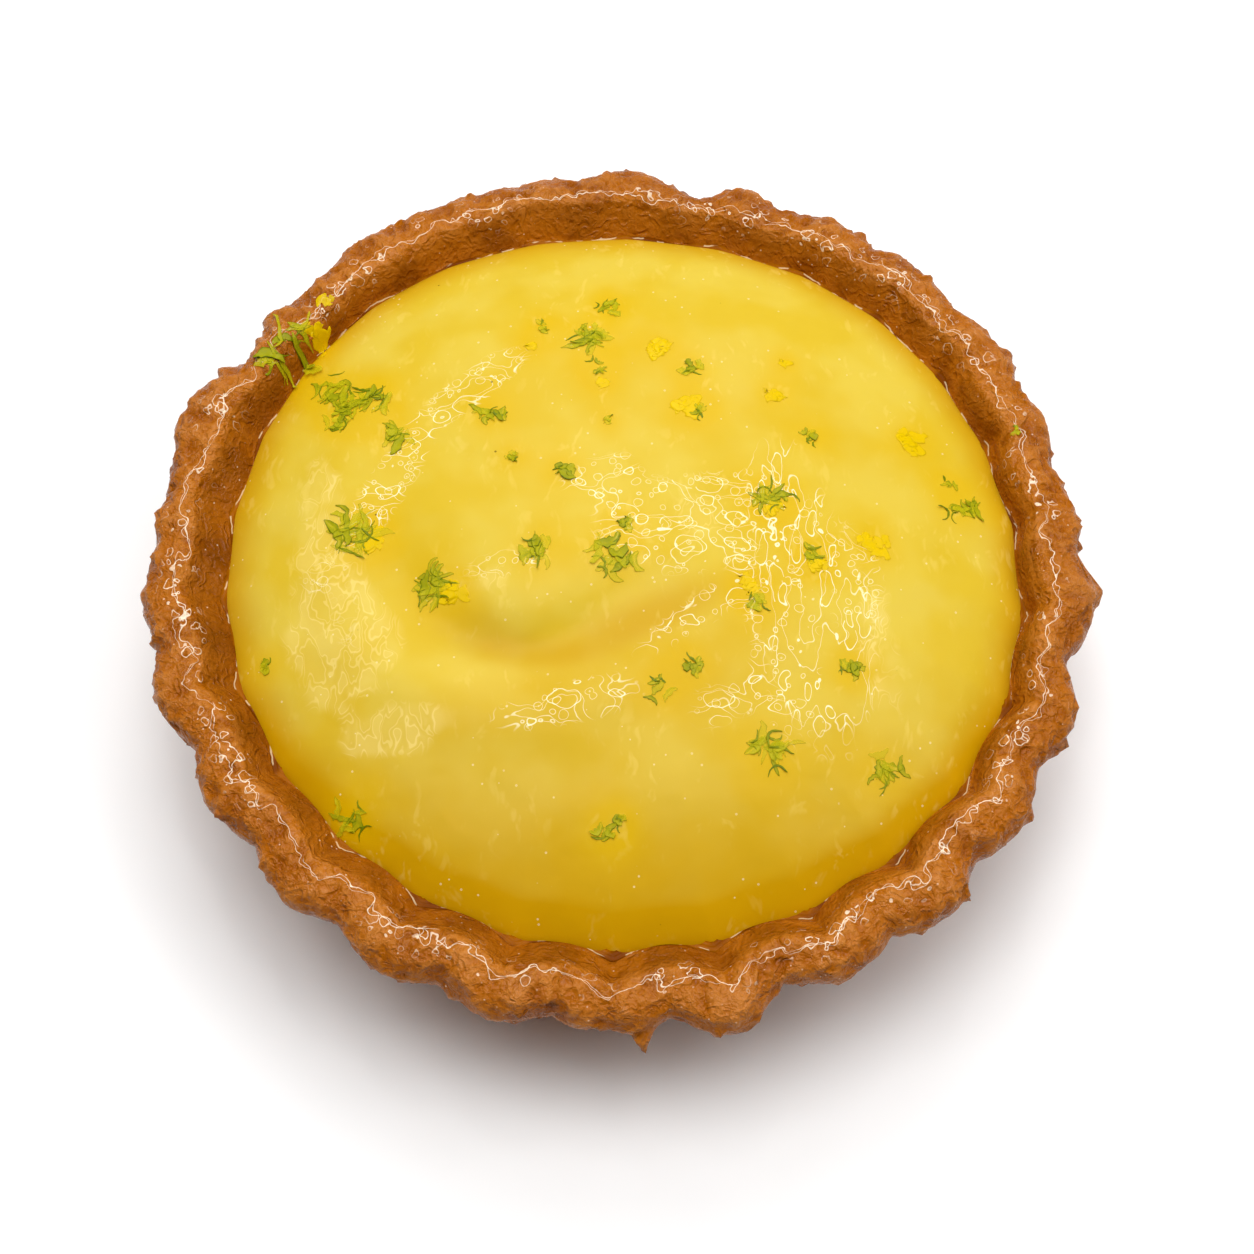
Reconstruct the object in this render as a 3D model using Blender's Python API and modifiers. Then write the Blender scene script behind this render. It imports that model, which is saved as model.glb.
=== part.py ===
"""Lemon tart: a fluted pastry shell, a domed swirl of lemon curd, and shreds of citrus zest on both."""

import math
import random

import bmesh
import bpy
import numpy as np
from mathutils import Matrix, Vector, noise
from mathutils.bvhtree import BVHTree

MM = 0.001

# The shell, as it leaves a fluted tin of about 100 mm
FLUTES = 26
LIP_RADIUS = 49.1 * MM
FOOT_RADIUS = 40.6 * MM
FOOT_ROUNDING = 1.2 * MM
WALL_TOP_RADIUS = 47.2 * MM
WALL_TOP_HEIGHT = 17.6 * MM
LIP_CENTRE_RADIUS = 46.0 * MM
LIP_CENTRE_HEIGHT = 20.5 * MM
LIP_HALF_WIDTH = LIP_RADIUS - LIP_CENTRE_RADIUS
LIP_HALF_HEIGHT = 2.7 * MM
LIP_START_ANGLE = -25
LIP_END_ANGLE = 115
LIP_SEGMENTS = 6
FLOOR_HEIGHT = 3.6 * MM
FLOOR_RADIUS = 36.2 * MM
FLOOR_ROUNDING = 1.6 * MM
WALL_SEGMENTS = 3
SHELL_STEPS = 156

# The curd meets the shell on this ring
EDGE_RADIUS = 42.2 * MM
EDGE_HEIGHT = 19.4 * MM
CLEARANCE = 0.3 * MM

# Flutes: depth, where they start, and how unevenly the hand-pressed dough spaces them
FLUTE_DEPTH = 0.56 * MM
FLUTE_DEPTH_SWAY = (0.29 * MM, 1, 78)
FIRST_FLUTE = math.radians(5.3)
FLUTE_DRIFT = ((math.radians(0.41), 1, 55), (math.radians(0.56), 3, -6))
FLUTE_SHARE_AT_FOOT = 0.55
FLUTE_SHARE_INSIDE = 0.3
HALFWAY_AT_FOOT = (FOOT_RADIUS + FLOOR_RADIUS) / 2

# The rim and the wall inside it are not quite round, and the rim is not quite level: size of each wave,
# waves in a turn, phase in degrees
OUT_OF_ROUND = (
    (0.19 * MM, 2, 123),
    (0.24 * MM, 3, -144),
    (0.14 * MM, 4, -3),
    (0.28 * MM, 5, 159),
    (0.17 * MM, 6, 87),
)
INSIDE_OUT_OF_ROUND = (
    (0.6 * MM, 1, -34),
    (0.41 * MM, 2, 74),
    (0.15 * MM, 3, -48),
    (0.11 * MM, 4, 171),
    (0.18 * MM, 5, 107),
)
LIP_SWELL = ((0.25 * MM, 2, 40), (0.2 * MM, 7, 10), (0.15 * MM, 11, 80))
SURFACE_GRAIN = 0.18 * MM
SURFACE_GRAIN_PITCH = 2.6 * MM
GRAIN_STARTS = 2.0 * MM

# Bulges and bites in the lip: bearing, half width in degrees, reach
LIP_CRAGS = (
    (28, 3, 0.7 * MM),
    (73, 3, 0.8 * MM),
    (78, 3, -1.2 * MM),
    (88, 4, 0.8 * MM),
    (101, 4, -0.6 * MM),
    (124, 5, 0.9 * MM),
    (147, 4, -1.2 * MM),
    (160, 6, 1.2 * MM),
    (170, 3, -1.0 * MM),
    (195, 4, 0.5 * MM),
    (268, 3, -0.8 * MM),
    (282, 4, 0.8 * MM),
    (291, 5, -0.7 * MM),
    (310, 5, 0.6 * MM),
    (345, 4, -0.6 * MM),
    (356, 4, 0.9 * MM),
)

# Torn points of dough: bearing, height on the lip, reach past it, half width, tilt up in degrees
THORNS = (
    (272.3, 19.0 * MM, 1.5 * MM, 0.9 * MM, -25),
    (1.7, 20.5 * MM, 0.8 * MM, 0.6 * MM, 10),
    (313.0, 20.0 * MM, 0.7 * MM, 0.7 * MM, 0),
    (291.2, 19.5 * MM, 0.5 * MM, 0.6 * MM, -10),
    (190.6, 20.8 * MM, 0.6 * MM, 0.8 * MM, 20),
    (153.4, 21.4 * MM, 0.6 * MM, 0.8 * MM, 25),
    (139.0, 21.2 * MM, 0.5 * MM, 0.6 * MM, 20),
    (121.2, 21.6 * MM, 0.3 * MM, 0.5 * MM, 30),
    (97.9, 21.6 * MM, 0.5 * MM, 0.6 * MM, 30),
    (57.0, 21.2 * MM, 0.5 * MM, 0.6 * MM, 20),
    (27.9, 21.0 * MM, 0.5 * MM, 0.6 * MM, 15),
)
THORN_SIDES = 5
THORN_ROOT = 1.2 * MM
THORN_TIP = 0.1 * MM

# The curd stands above its edge as a dome that is steepest round the rim
DOME_RISE = 8.5 * MM
DOME_POWER = 2.4
DOME_ROUNDING = 0.75
CURD_STEPS = 88
EDGE_RING_INSETS = (0.6 * MM, 1.5 * MM, 2.8 * MM)
OUTER_RINGS = (37.0 * MM, 33.5 * MM, 29.5 * MM)
SWIRL_RINGS = 15
SWIRL_RING_PITCH = 1.5 * MM
SWIRL_OUTER_RING = 26.0 * MM

# The spoon's last stroke: a groove round a raised lobe, and a soft crest outside it. Plan points in mm
SWIRL_PATH = ((12, -4.6), (3, -5.2), (-8.5, -11.6), (-19.5, -8.8), (-23.6, 2), (-20.6, 14), (-12, 18.4))
SWIRL_SAMPLES = 60
SWIRL_CENTRE = (-8, 3)
SWIRL_CALM_BY_EDGE = 0.15
GROOVE_DEPTH = 1.35 * MM
GROOVE_WIDTH_INSIDE = 2.6 * MM
GROOVE_WIDTH_OUTSIDE = 4.2 * MM
LOBE_CENTRE = (-6.5, -1.5)
LOBE_RISE = 0.9 * MM
LOBE_WIDTH = 9.0 * MM
CREST_RISE = 0.5 * MM
CREST_DISTANCE = 7.5 * MM
CREST_WIDTH = 3.2 * MM

# How the stroke deepens, grows shallow and ends, as shares of its length
STROKE_DEEPENS = (0.0, 0.38)
STROKE_EASES = (0.35, 0.7)
STROKE_ENDS = (0.8, 1.0)
STROKE_EASED_BY = 0.75

# Zest: where each tuft lies in mm, its spread in mm and its number of shreds
CURD_TUFTS = (
    (-31.5, 20.5, 2.4, 4),
    (-28.6, 18.0, 2.4, 4),
    (-29.8, 15.6, 1.6, 2),
    (-25.6, 18.0, 2.0, 3),
    (-23.4, 13.2, 1.8, 2),
    (-27.3, 1.3, 2.8, 5),
    (-19.3, -5.2, 2.4, 4),
    (-8.0, -2.3, 1.9, 3),
    (-3.1, 24.6, 2.2, 4),
    (-1.7, 19.4, 1.1, 1),
    (-0.7, 29.5, 1.7, 3),
    (-8.4, 25.4, 1.4, 2),
    (-13.5, 15.1, 1.8, 2),
    (-11.0, 9.1, 0.8, 1),
    (-5.8, 7.7, 1.6, 1),
    (0.6, 0.9, 1.1, 2),
    (-0.2, -2.8, 2.2, 3),
    (4.3, 23.6, 1.6, 1),
    (7.9, 20.4, 1.3, 2),
    (8.3, 15.2, 1.5, 2),
    (17.0, 17.4, 0.9, 1),
    (20.6, 12.0, 1.1, 2),
    (15.6, 4.7, 2.0, 3),
    (19.9, -2.2, 1.2, 2),
    (26.8, -0.2, 1.6, 1),
    (31.6, 12.6, 1.8, 1),
    (35.5, 8.1, 0.9, 1),
    (36.4, 4.9, 2.1, 2),
    (13.8, -7.2, 1.4, 2),
    (23.7, -14.2, 1.4, 2),
    (6.9, -15.0, 1.4, 1),
    (3.8, -17.0, 1.5, 2),
    (14.5, -23.0, 2.2, 3),
    (26.4, -24.7, 2.0, 3),
    (-0.9, -30.8, 1.7, 2),
    (-36.3, -11.9, 0.9, 1),
    (-26.8, -28.2, 1.9, 2),
)
RIM_TUFTS = (
    (-37.6, 23.6, 1.6, 3),
    (-35.8, 27.4, 1.5, 2),
    (-32.6, 31.6, 1.3, 2),
)
SHRED_WIDTH = 0.95 * MM
SHRED_THICKNESS = 0.6 * MM
SHRED_SUNK = 0.12 * MM
SHRED_CURL = 0.9
SHRED_TAPER = 0.45
SHRED_LENGTHS = (1.1, 1.6)
SHRED_TURN = 0.3
SHRED_AWAY = 0.3
SHRED_ASIDE = 1.3
SHRED_SEGMENTS = 2
RIM_GUARD = 1.0 * MM
ABOVE_THE_TART = 100.0 * MM
SEED = 7

SHARP_ANGLE = math.radians(50)


def clear_scene():
    for item in list(bpy.data.objects):
        bpy.data.objects.remove(item, do_unlink=True)


def new_collection(name):
    collection = bpy.data.collections.new(name)
    bpy.context.scene.collection.children.link(collection)
    return collection


def make_material(name, colour, roughness):
    material = bpy.data.materials.new(name)
    material.use_nodes = True
    shader = material.node_tree.nodes["Principled BSDF"]
    shader.inputs["Base Color"].default_value = (*colour, 1.0)
    shader.inputs["Roughness"].default_value = roughness
    shader.inputs["Metallic"].default_value = 0.0
    return material


def waves(terms, azimuth):
    """Sum of cosine waves round the tart, each given by size, count in a turn and phase in degrees."""
    return sum(size * math.cos(count * azimuth + math.radians(phase)) for size, count, phase in terms)


def smooth_share(low, high, value):
    """0 below low, 1 above high, and an S curve between them."""
    share = min(max((value - low) / (high - low), 0.0), 1.0)
    return share * share * (3 - 2 * share)


def flute_wave(azimuth):
    """Phase of the flutes at this azimuth, a half turn for each flute, and their depth there."""
    turn = FLUTES * (azimuth - FIRST_FLUTE - waves(FLUTE_DRIFT, azimuth)) / 2
    depth = FLUTE_DEPTH + waves((FLUTE_DEPTH_SWAY,), azimuth)
    return turn, depth


def outer_flute(azimuth):
    """Rounded bumps with sharp creases between them, as seen from outside."""
    turn, depth = flute_wave(azimuth)
    return depth * (2 * abs(math.cos(turn)) - 1)


def inner_flute(azimuth):
    """The same flutes seen from inside: rounded lobes inward, sharp creases outward."""
    turn, depth = flute_wave(azimuth)
    return depth * (1 - 2 * abs(math.sin(turn)))


def crag_reach(azimuth):
    bearing = math.degrees(azimuth)
    reach = 0.0
    for middle, half_width, size in LIP_CRAGS:
        offset = (bearing - middle + 180) % 360 - 180
        reach += size * math.exp(-((offset / half_width) ** 2))
    return reach


def inside_shift(azimuth):
    """How far the wall under the curd's edge stands from its round mean, for shell and curd alike."""
    return waves(INSIDE_OUT_OF_ROUND, azimuth) + FLUTE_SHARE_INSIDE * inner_flute(azimuth)


def line(start, end, segments):
    """Points from start up to, but not with, end."""
    shares = [step / segments for step in range(segments)]
    return [tuple(a + (b - a) * share for a, b in zip(start, end)) for share in shares]


def shell_section():
    """Half section of the shell, radius and height, from the middle of the base out, up and in again."""
    points = [(0.0, 0.0), (FOOT_RADIUS - FOOT_ROUNDING, 0.0)]
    points += line((FOOT_RADIUS, FOOT_ROUNDING), (WALL_TOP_RADIUS, WALL_TOP_HEIGHT), WALL_SEGMENTS)
    points.append((WALL_TOP_RADIUS, WALL_TOP_HEIGHT))
    for step in range(LIP_SEGMENTS + 1):
        angle = math.radians(LIP_START_ANGLE + (LIP_END_ANGLE - LIP_START_ANGLE) * step / LIP_SEGMENTS)
        radius = LIP_CENTRE_RADIUS + LIP_HALF_WIDTH * math.cos(angle)
        points.append((radius, LIP_CENTRE_HEIGHT + LIP_HALF_HEIGHT * math.sin(angle)))
    points += line((EDGE_RADIUS, EDGE_HEIGHT), (FLOOR_RADIUS, FLOOR_HEIGHT + FLOOR_ROUNDING), WALL_SEGMENTS)
    points.append((FLOOR_RADIUS, FLOOR_HEIGHT + FLOOR_ROUNDING))
    points.append((FLOOR_RADIUS - FLOOR_ROUNDING, FLOOR_HEIGHT))
    points.append((0.0, FLOOR_HEIGHT))
    return points


def curd_section():
    """Half section of the curd, from the middle of its floor out, up the wall and over the dome."""
    floor = FLOOR_HEIGHT + CLEARANCE
    lean = (EDGE_RADIUS - FLOOR_RADIUS) / (EDGE_HEIGHT - FLOOR_HEIGHT - FLOOR_ROUNDING)
    gap = CLEARANCE * math.hypot(1, lean)
    points = [(0.0, floor), (FLOOR_RADIUS - FLOOR_ROUNDING - gap, floor)]
    points += line(
        (FLOOR_RADIUS - gap, FLOOR_HEIGHT + FLOOR_ROUNDING),
        (EDGE_RADIUS - gap, EDGE_HEIGHT),
        WALL_SEGMENTS,
    )
    edge = EDGE_RADIUS - gap
    points.append((edge, EDGE_HEIGHT))
    rings = [edge - inset for inset in EDGE_RING_INSETS]
    rings += OUTER_RINGS
    rings += [SWIRL_OUTER_RING - SWIRL_RING_PITCH * ring for ring in range(SWIRL_RINGS)]
    points += [(radius, EDGE_HEIGHT + DOME_RISE) for radius in rings]
    points.append((0.0, EDGE_HEIGHT + DOME_RISE))
    return points


def turned_object(name, points, steps, collection):
    """Turns a half section once round Z with a Screw modifier and returns it as a plain mesh object."""
    outline = bpy.data.meshes.new(name + "_section")
    corners = [(radius, 0.0, height) for radius, height in reversed(points)]
    outline.from_pydata(corners, [(i, i + 1) for i in range(len(corners) - 1)], [])
    section = bpy.data.objects.new(name + "_section", outline)
    collection.objects.link(section)
    screw = section.modifiers.new("Turn", "SCREW")
    screw.steps = steps
    screw.render_steps = steps
    screw.use_merge_vertices = True
    screw.merge_threshold = 0.01 * MM
    return applied_object(name, section, collection)


def applied_object(name, source, collection):
    """Replaces source by an object that holds its evaluated mesh."""
    graph = bpy.context.evaluated_depsgraph_get()
    mesh = bpy.data.meshes.new_from_object(source.evaluated_get(graph))
    mesh.name = name
    bpy.data.objects.remove(source, do_unlink=True)
    result = bpy.data.objects.new(name, mesh)
    collection.objects.link(result)
    return result


def outside_share(radius, height):
    """0 on the inner face of the dough, 1 on its outer face."""
    halfway = HALFWAY_AT_FOOT + (LIP_CENTRE_RADIUS - HALFWAY_AT_FOOT) * height / LIP_CENTRE_HEIGHT
    return smooth_share(halfway - MM, halfway + MM, radius)


def shape_shell(point):
    """Moves a point of the turned shell by flutes, waves, bulges and grain."""
    radius = math.hypot(point.x, point.y)
    azimuth = math.atan2(point.y, point.x)
    if radius < FLOOR_RADIUS - 2 * FLOOR_ROUNDING:
        return point
    outside = outside_share(radius, point.z)
    up_wall = smooth_share(0.0, WALL_TOP_HEIGHT, point.z)
    on_lip = smooth_share(EDGE_HEIGHT, EDGE_HEIGHT + LIP_HALF_HEIGHT, point.z)
    outer_share = FLUTE_SHARE_AT_FOOT + (1 - FLUTE_SHARE_AT_FOOT) * up_wall
    inner_share = FLUTE_SHARE_INSIDE + (1 - FLUTE_SHARE_INSIDE) * on_lip
    beyond_edge = max(outside, on_lip)
    shift = beyond_edge * waves(OUT_OF_ROUND, azimuth)
    shift += (1 - beyond_edge) * waves(INSIDE_OUT_OF_ROUND, azimuth)
    shift += outside * outer_share * outer_flute(azimuth)
    shift += (1 - outside) * inner_share * inner_flute(azimuth)
    shift += outside * smooth_share(WALL_TOP_HEIGHT / 2, WALL_TOP_HEIGHT, point.z) * crag_reach(azimuth)
    free = beyond_edge * smooth_share(0.0, GRAIN_STARTS, point.z)
    shift += free * SURFACE_GRAIN * noise.noise(point / SURFACE_GRAIN_PITCH)
    height = point.z + on_lip * waves(LIP_SWELL, azimuth)
    height += on_lip * SURFACE_GRAIN * noise.noise(-point / SURFACE_GRAIN_PITCH)
    radius += shift
    return Vector((radius * math.cos(azimuth), radius * math.sin(azimuth), height))


def swirl_samples():
    """Points along the swirl's groove in metres: a Catmull-Rom curve through its named points."""
    knots = np.array(SWIRL_PATH, dtype=float) * MM
    knots = np.vstack((2 * knots[0] - knots[1], knots, 2 * knots[-1] - knots[-2]))
    spans = len(SWIRL_PATH) - 1
    samples = []
    for step in range(SWIRL_SAMPLES + 1):
        place = spans * step / SWIRL_SAMPLES
        span = min(int(place), spans - 1)
        t = place - span
        before, start, end, after = knots[span : span + 4]
        samples.append(
            0.5
            * (
                2 * start
                + (end - before) * t
                + (2 * before - 5 * start + 4 * end - after) * t**2
                + (3 * start - before - 3 * end + after) * t**3
            )
        )
    return np.array(samples)


GROOVE = swirl_samples()


def bell(offset, width):
    return math.exp(-((offset / width) ** 2))


def swirl_relief(x, y):
    """Height that the spoon's stroke adds to the dome or takes from it."""
    offsets = GROOVE - np.array((x, y))
    distances = np.hypot(offsets[:, 0], offsets[:, 1])
    nearest = int(distances.argmin())
    along = nearest / SWIRL_SAMPLES
    centre = np.array(SWIRL_CENTRE) * MM
    outward = math.dist((x, y), centre) > math.dist(GROOVE[nearest], centre)
    distance = float(distances[nearest])
    strength = smooth_share(*STROKE_DEEPENS, along)
    strength *= 1 - STROKE_EASED_BY * smooth_share(*STROKE_EASES, along)
    strength *= 1 - smooth_share(*STROKE_ENDS, along)
    width = GROOVE_WIDTH_OUTSIDE if outward else GROOVE_WIDTH_INSIDE
    relief = -GROOVE_DEPTH * strength * bell(distance, width)
    relief += LOBE_RISE * bell(math.dist((x, y), np.array(LOBE_CENTRE) * MM), LOBE_WIDTH)
    if outward:
        relief += CREST_RISE * strength * bell(distance - CREST_DISTANCE, CREST_WIDTH)
    return relief


def curd_height(x, y):
    """Height of the curd's surface over the plan point x, y."""
    azimuth = math.atan2(y, x)
    edge = EDGE_RADIUS + inside_shift(azimuth)
    radius = math.hypot(x, y)
    inward = min(radius / edge, 1.0)
    rise = DOME_RISE * (1 - inward**DOME_POWER) ** DOME_ROUNDING
    fade = smooth_share(0.0, SWIRL_CALM_BY_EDGE, 1 - inward)
    return EDGE_HEIGHT + rise + fade * swirl_relief(x, y)


def shape_curd(point):
    """Moves a point of the turned curd: the wall follows the shell, the top follows the dome and swirl."""
    azimuth = math.atan2(point.y, point.x)
    radius = math.hypot(point.x, point.y)
    if radius > FLOOR_RADIUS / 2:
        on_wall = smooth_share(FLOOR_RADIUS / 2, FLOOR_RADIUS - FLOOR_ROUNDING, radius)
        radius += inside_shift(azimuth) * on_wall
    x = radius * math.cos(azimuth)
    y = radius * math.sin(azimuth)
    if point.z > EDGE_HEIGHT + DOME_RISE / 2:
        return Vector((x, y, curd_height(x, y)))
    return Vector((x, y, point.z))


def reshape(item, rule):
    for vertex in item.data.vertices:
        vertex.co = rule(vertex.co.copy())
    item.data.update()


def close_up(item):
    """Joins the points that the turn left on the axis and points every face out."""
    mesh = bmesh.new()
    mesh.from_mesh(item.data)
    bmesh.ops.remove_doubles(mesh, verts=mesh.verts, dist=0.01 * MM)
    bmesh.ops.recalc_face_normals(mesh, faces=mesh.faces)
    mesh.to_mesh(item.data)
    mesh.free()


def make_shred(name, length, curl, place, collection):
    """One shred of zest: a flat strip curled sideways into an arc, laid at place."""
    mesh = bmesh.new()
    bmesh.ops.create_grid(mesh, x_segments=SHRED_SEGMENTS, y_segments=1, size=0.5)
    bmesh.ops.solidify(mesh, geom=list(mesh.faces), thickness=1.0)
    bmesh.ops.recalc_face_normals(mesh, faces=mesh.faces)
    lowest = min(vertex.co.z for vertex in mesh.verts)
    for vertex in mesh.verts:
        along, across, up = vertex.co
        width = SHRED_WIDTH * (1 - SHRED_TAPER * abs(2 * along))
        bend = length * curl * along * along
        thick = SHRED_THICKNESS * (up - lowest - 0.5)
        vertex.co = Vector((length * along, width * across + bend, thick))
    data = bpy.data.meshes.new(name)
    mesh.to_mesh(data)
    mesh.free()
    shred = bpy.data.objects.new(name, data)
    shred.matrix_world = place
    collection.objects.link(shred)
    return shred


def surface_frame(tree, x, y, heading, sunk):
    """A placing matrix on the surface over x, y, with its X axis at the heading and its Z axis outward."""
    hit, normal, _, _ = tree.ray_cast(Vector((x, y, ABOVE_THE_TART)), Vector((0, 0, -1)))
    along = Vector((math.cos(heading), math.sin(heading), 0.0))
    side = normal.cross(along).normalized()
    along = side.cross(normal).normalized()
    turn = Matrix((along, side, normal)).transposed().to_4x4()
    return Matrix.Translation(hit - normal * sunk) @ turn


def scatter_shreds(item, tufts, allowed, source, collection):
    """Lays each tuft's shreds round its middle, on the surface, where allowed says they may lie."""
    mesh = bmesh.new()
    mesh.from_mesh(item.data)
    tree = BVHTree.FromBMesh(mesh)
    for tuft, (x, y, spread, count) in enumerate(tufts):
        start = source.uniform(0, math.tau)
        for shred in range(count):
            heading = start + math.pi * shred / count + source.uniform(-SHRED_TURN, SHRED_TURN)
            away = SHRED_AWAY * spread * (shred > 0)
            px = (x + away * math.cos(heading + SHRED_ASIDE)) * MM
            py = (y + away * math.sin(heading + SHRED_ASIDE)) * MM
            length = spread * source.uniform(*SHRED_LENGTHS) * MM
            curl = source.uniform(-SHRED_CURL, SHRED_CURL)
            if allowed(math.hypot(px, py), length):
                place = surface_frame(tree, px, py, heading, SHRED_SUNK)
                make_shred(f"shred_{tuft}_{shred}", length, curl, place, collection)
    mesh.free()


def on_curd(radius, length):
    return radius + length / 2 < EDGE_RADIUS - RIM_GUARD


def on_rim(radius, length):
    return radius - length / 2 > EDGE_RADIUS + RIM_GUARD / 2


def make_thorns(collection):
    """Small five-sided cones that stand out from the lip where the dough tore."""
    for bearing, height, reach, half_width, tilt in THORNS:
        azimuth = math.radians(bearing)
        lip = LIP_RADIUS + waves(OUT_OF_ROUND, azimuth) + outer_flute(azimuth) + crag_reach(azimuth)
        root = lip - THORN_ROOT
        tip = lip + reach
        length = tip - root
        half_width_at_root = half_width * length / reach
        mesh = bmesh.new()
        bmesh.ops.create_cone(
            mesh,
            cap_ends=True,
            segments=THORN_SIDES,
            radius1=half_width_at_root,
            radius2=THORN_TIP,
            depth=length,
        )
        bmesh.ops.translate(mesh, verts=mesh.verts, vec=(0, 0, length / 2))
        data = bpy.data.meshes.new("thorn")
        mesh.to_mesh(data)
        mesh.free()
        thorn = bpy.data.objects.new("thorn", data)
        lean = Matrix.Rotation(math.pi / 2 - math.radians(tilt), 4, "Y")
        thorn.matrix_world = Matrix.Rotation(azimuth, 4, "Z") @ Matrix.Translation((root, 0, height)) @ lean
        collection.objects.link(thorn)


def fuse(item, additions, collection):
    """Joins every object of the additions to item with one Boolean union and removes them."""
    name = item.name
    joint = item.modifiers.new("Fuse", "BOOLEAN")
    joint.operation = "UNION"
    joint.solver = "EXACT"
    joint.operand_type = "COLLECTION"
    joint.collection = additions
    bpy.context.view_layer.update()
    item.name = name + "_bare"
    fused = applied_object(name, item, collection)
    for extra in list(additions.objects):
        bpy.data.objects.remove(extra, do_unlink=True)
    bpy.data.collections.remove(additions)
    return fused


def finish_object(item, material):
    item.data.materials.clear()
    item.data.materials.append(material)
    item.data.shade_smooth()
    item.data.set_sharp_from_angle(angle=SHARP_ANGLE)


def make_shell(collection, source):
    shell = turned_object("crust", shell_section(), SHELL_STEPS, collection)
    reshape(shell, shape_shell)
    close_up(shell)
    additions = new_collection("crust_additions")
    make_thorns(additions)
    scatter_shreds(shell, RIM_TUFTS, on_rim, source, additions)
    shell = fuse(shell, additions, collection)
    finish_object(shell, make_material("baked_pastry", (0.46, 0.16, 0.035), 0.45))


def make_curd(collection, source):
    curd = turned_object("lemon_curd", curd_section(), CURD_STEPS, collection)
    reshape(curd, shape_curd)
    close_up(curd)
    additions = new_collection("curd_additions")
    scatter_shreds(curd, CURD_TUFTS, on_curd, source, additions)
    curd = fuse(curd, additions, collection)
    finish_object(curd, make_material("lemon_curd", (0.82, 0.56, 0.05), 0.25))


def main():
    clear_scene()
    source = random.Random(SEED)
    collection = new_collection("lemon_tart")
    make_shell(collection, source)
    make_curd(collection, source)


main()
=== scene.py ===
# %% [markdown]
# # A glazed lemon tart
# A fluted pastry shell holds a domed swirl of lemon curd, with shreds of lime and lemon zest on top.
# The solid model already gives every size and place, so this lesson only makes the fine surfaces, the
# finishes and the studio. Each fine piece takes the place of the plain solid under it.

# %% Load the solid model
import math
import random

import bmesh
import bpy
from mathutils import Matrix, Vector, noise
from mathutils.bvhtree import BVHTree
from mathutils.kdtree import KDTree


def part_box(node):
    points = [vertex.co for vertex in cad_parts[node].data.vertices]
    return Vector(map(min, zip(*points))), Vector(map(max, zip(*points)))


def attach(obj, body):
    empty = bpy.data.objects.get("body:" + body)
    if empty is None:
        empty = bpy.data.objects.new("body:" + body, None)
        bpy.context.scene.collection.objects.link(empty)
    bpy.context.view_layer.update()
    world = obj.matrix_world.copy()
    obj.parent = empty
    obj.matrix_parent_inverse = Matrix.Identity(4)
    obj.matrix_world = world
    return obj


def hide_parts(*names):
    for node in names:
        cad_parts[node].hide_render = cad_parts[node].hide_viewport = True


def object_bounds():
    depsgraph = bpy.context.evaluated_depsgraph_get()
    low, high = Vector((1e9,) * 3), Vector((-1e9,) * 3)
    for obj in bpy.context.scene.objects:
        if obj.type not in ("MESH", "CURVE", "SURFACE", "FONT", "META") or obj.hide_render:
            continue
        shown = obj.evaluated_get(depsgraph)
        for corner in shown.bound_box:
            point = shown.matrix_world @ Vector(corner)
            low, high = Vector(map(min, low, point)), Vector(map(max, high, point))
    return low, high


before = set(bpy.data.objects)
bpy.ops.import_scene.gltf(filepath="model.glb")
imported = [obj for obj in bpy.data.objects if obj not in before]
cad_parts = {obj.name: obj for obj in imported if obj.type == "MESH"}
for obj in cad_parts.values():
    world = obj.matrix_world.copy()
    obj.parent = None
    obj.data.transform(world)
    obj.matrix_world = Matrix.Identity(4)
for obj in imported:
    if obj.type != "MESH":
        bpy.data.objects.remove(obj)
SOLID_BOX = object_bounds()
SHELL_LOW, SHELL_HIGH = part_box("crust")
CURD_LOW, CURD_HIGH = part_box("lemon_curd")
print("solid box, mm:", [round(1000 * (high - low), 1) for low, high in zip(*SOLID_BOX)])

# %% [markdown]
# ## One millimetre of the tart
# All sizes below are in millimetres of the real tart. The solid shell is 99.8 mm across at the rim, so
# one millimetre is its width over 99.8. If the solid is scaled, every fine piece follows it.

# %% Unit and helpers for shapes
SHELL_WIDTH_MM = 99.77
MM = (SHELL_HIGH.x - SHELL_LOW.x) / SHELL_WIDTH_MM


def smooth_share(low, high, value):
    """0 below low, 1 above high, and an S curve between them."""
    share = min(max((value - low) / (high - low), 0.0), 1.0)
    return share * share * (3 - 2 * share)


def bell(offset, width):
    return math.exp(-((offset / width) ** 2))


def waves(terms, azimuth):
    """Sum of cosine waves round the tart, each given by size, count in a turn and phase in degrees."""
    return sum(size * math.cos(count * azimuth + math.radians(phase)) for size, count, phase in terms)


print("one millimetre is", round(MM, 6), "m")

# %% [markdown]
# ## How the dough was pressed
# The tin has 26 flutes. Dough pressed in by hand drifts a little, so the flutes are not evenly spaced,
# the rim is not quite round, and crumbs broke out of its edge. Each of these is a wave or a bell curve
# of the bearing round the tart, which keeps them easy to read and to change.

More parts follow.
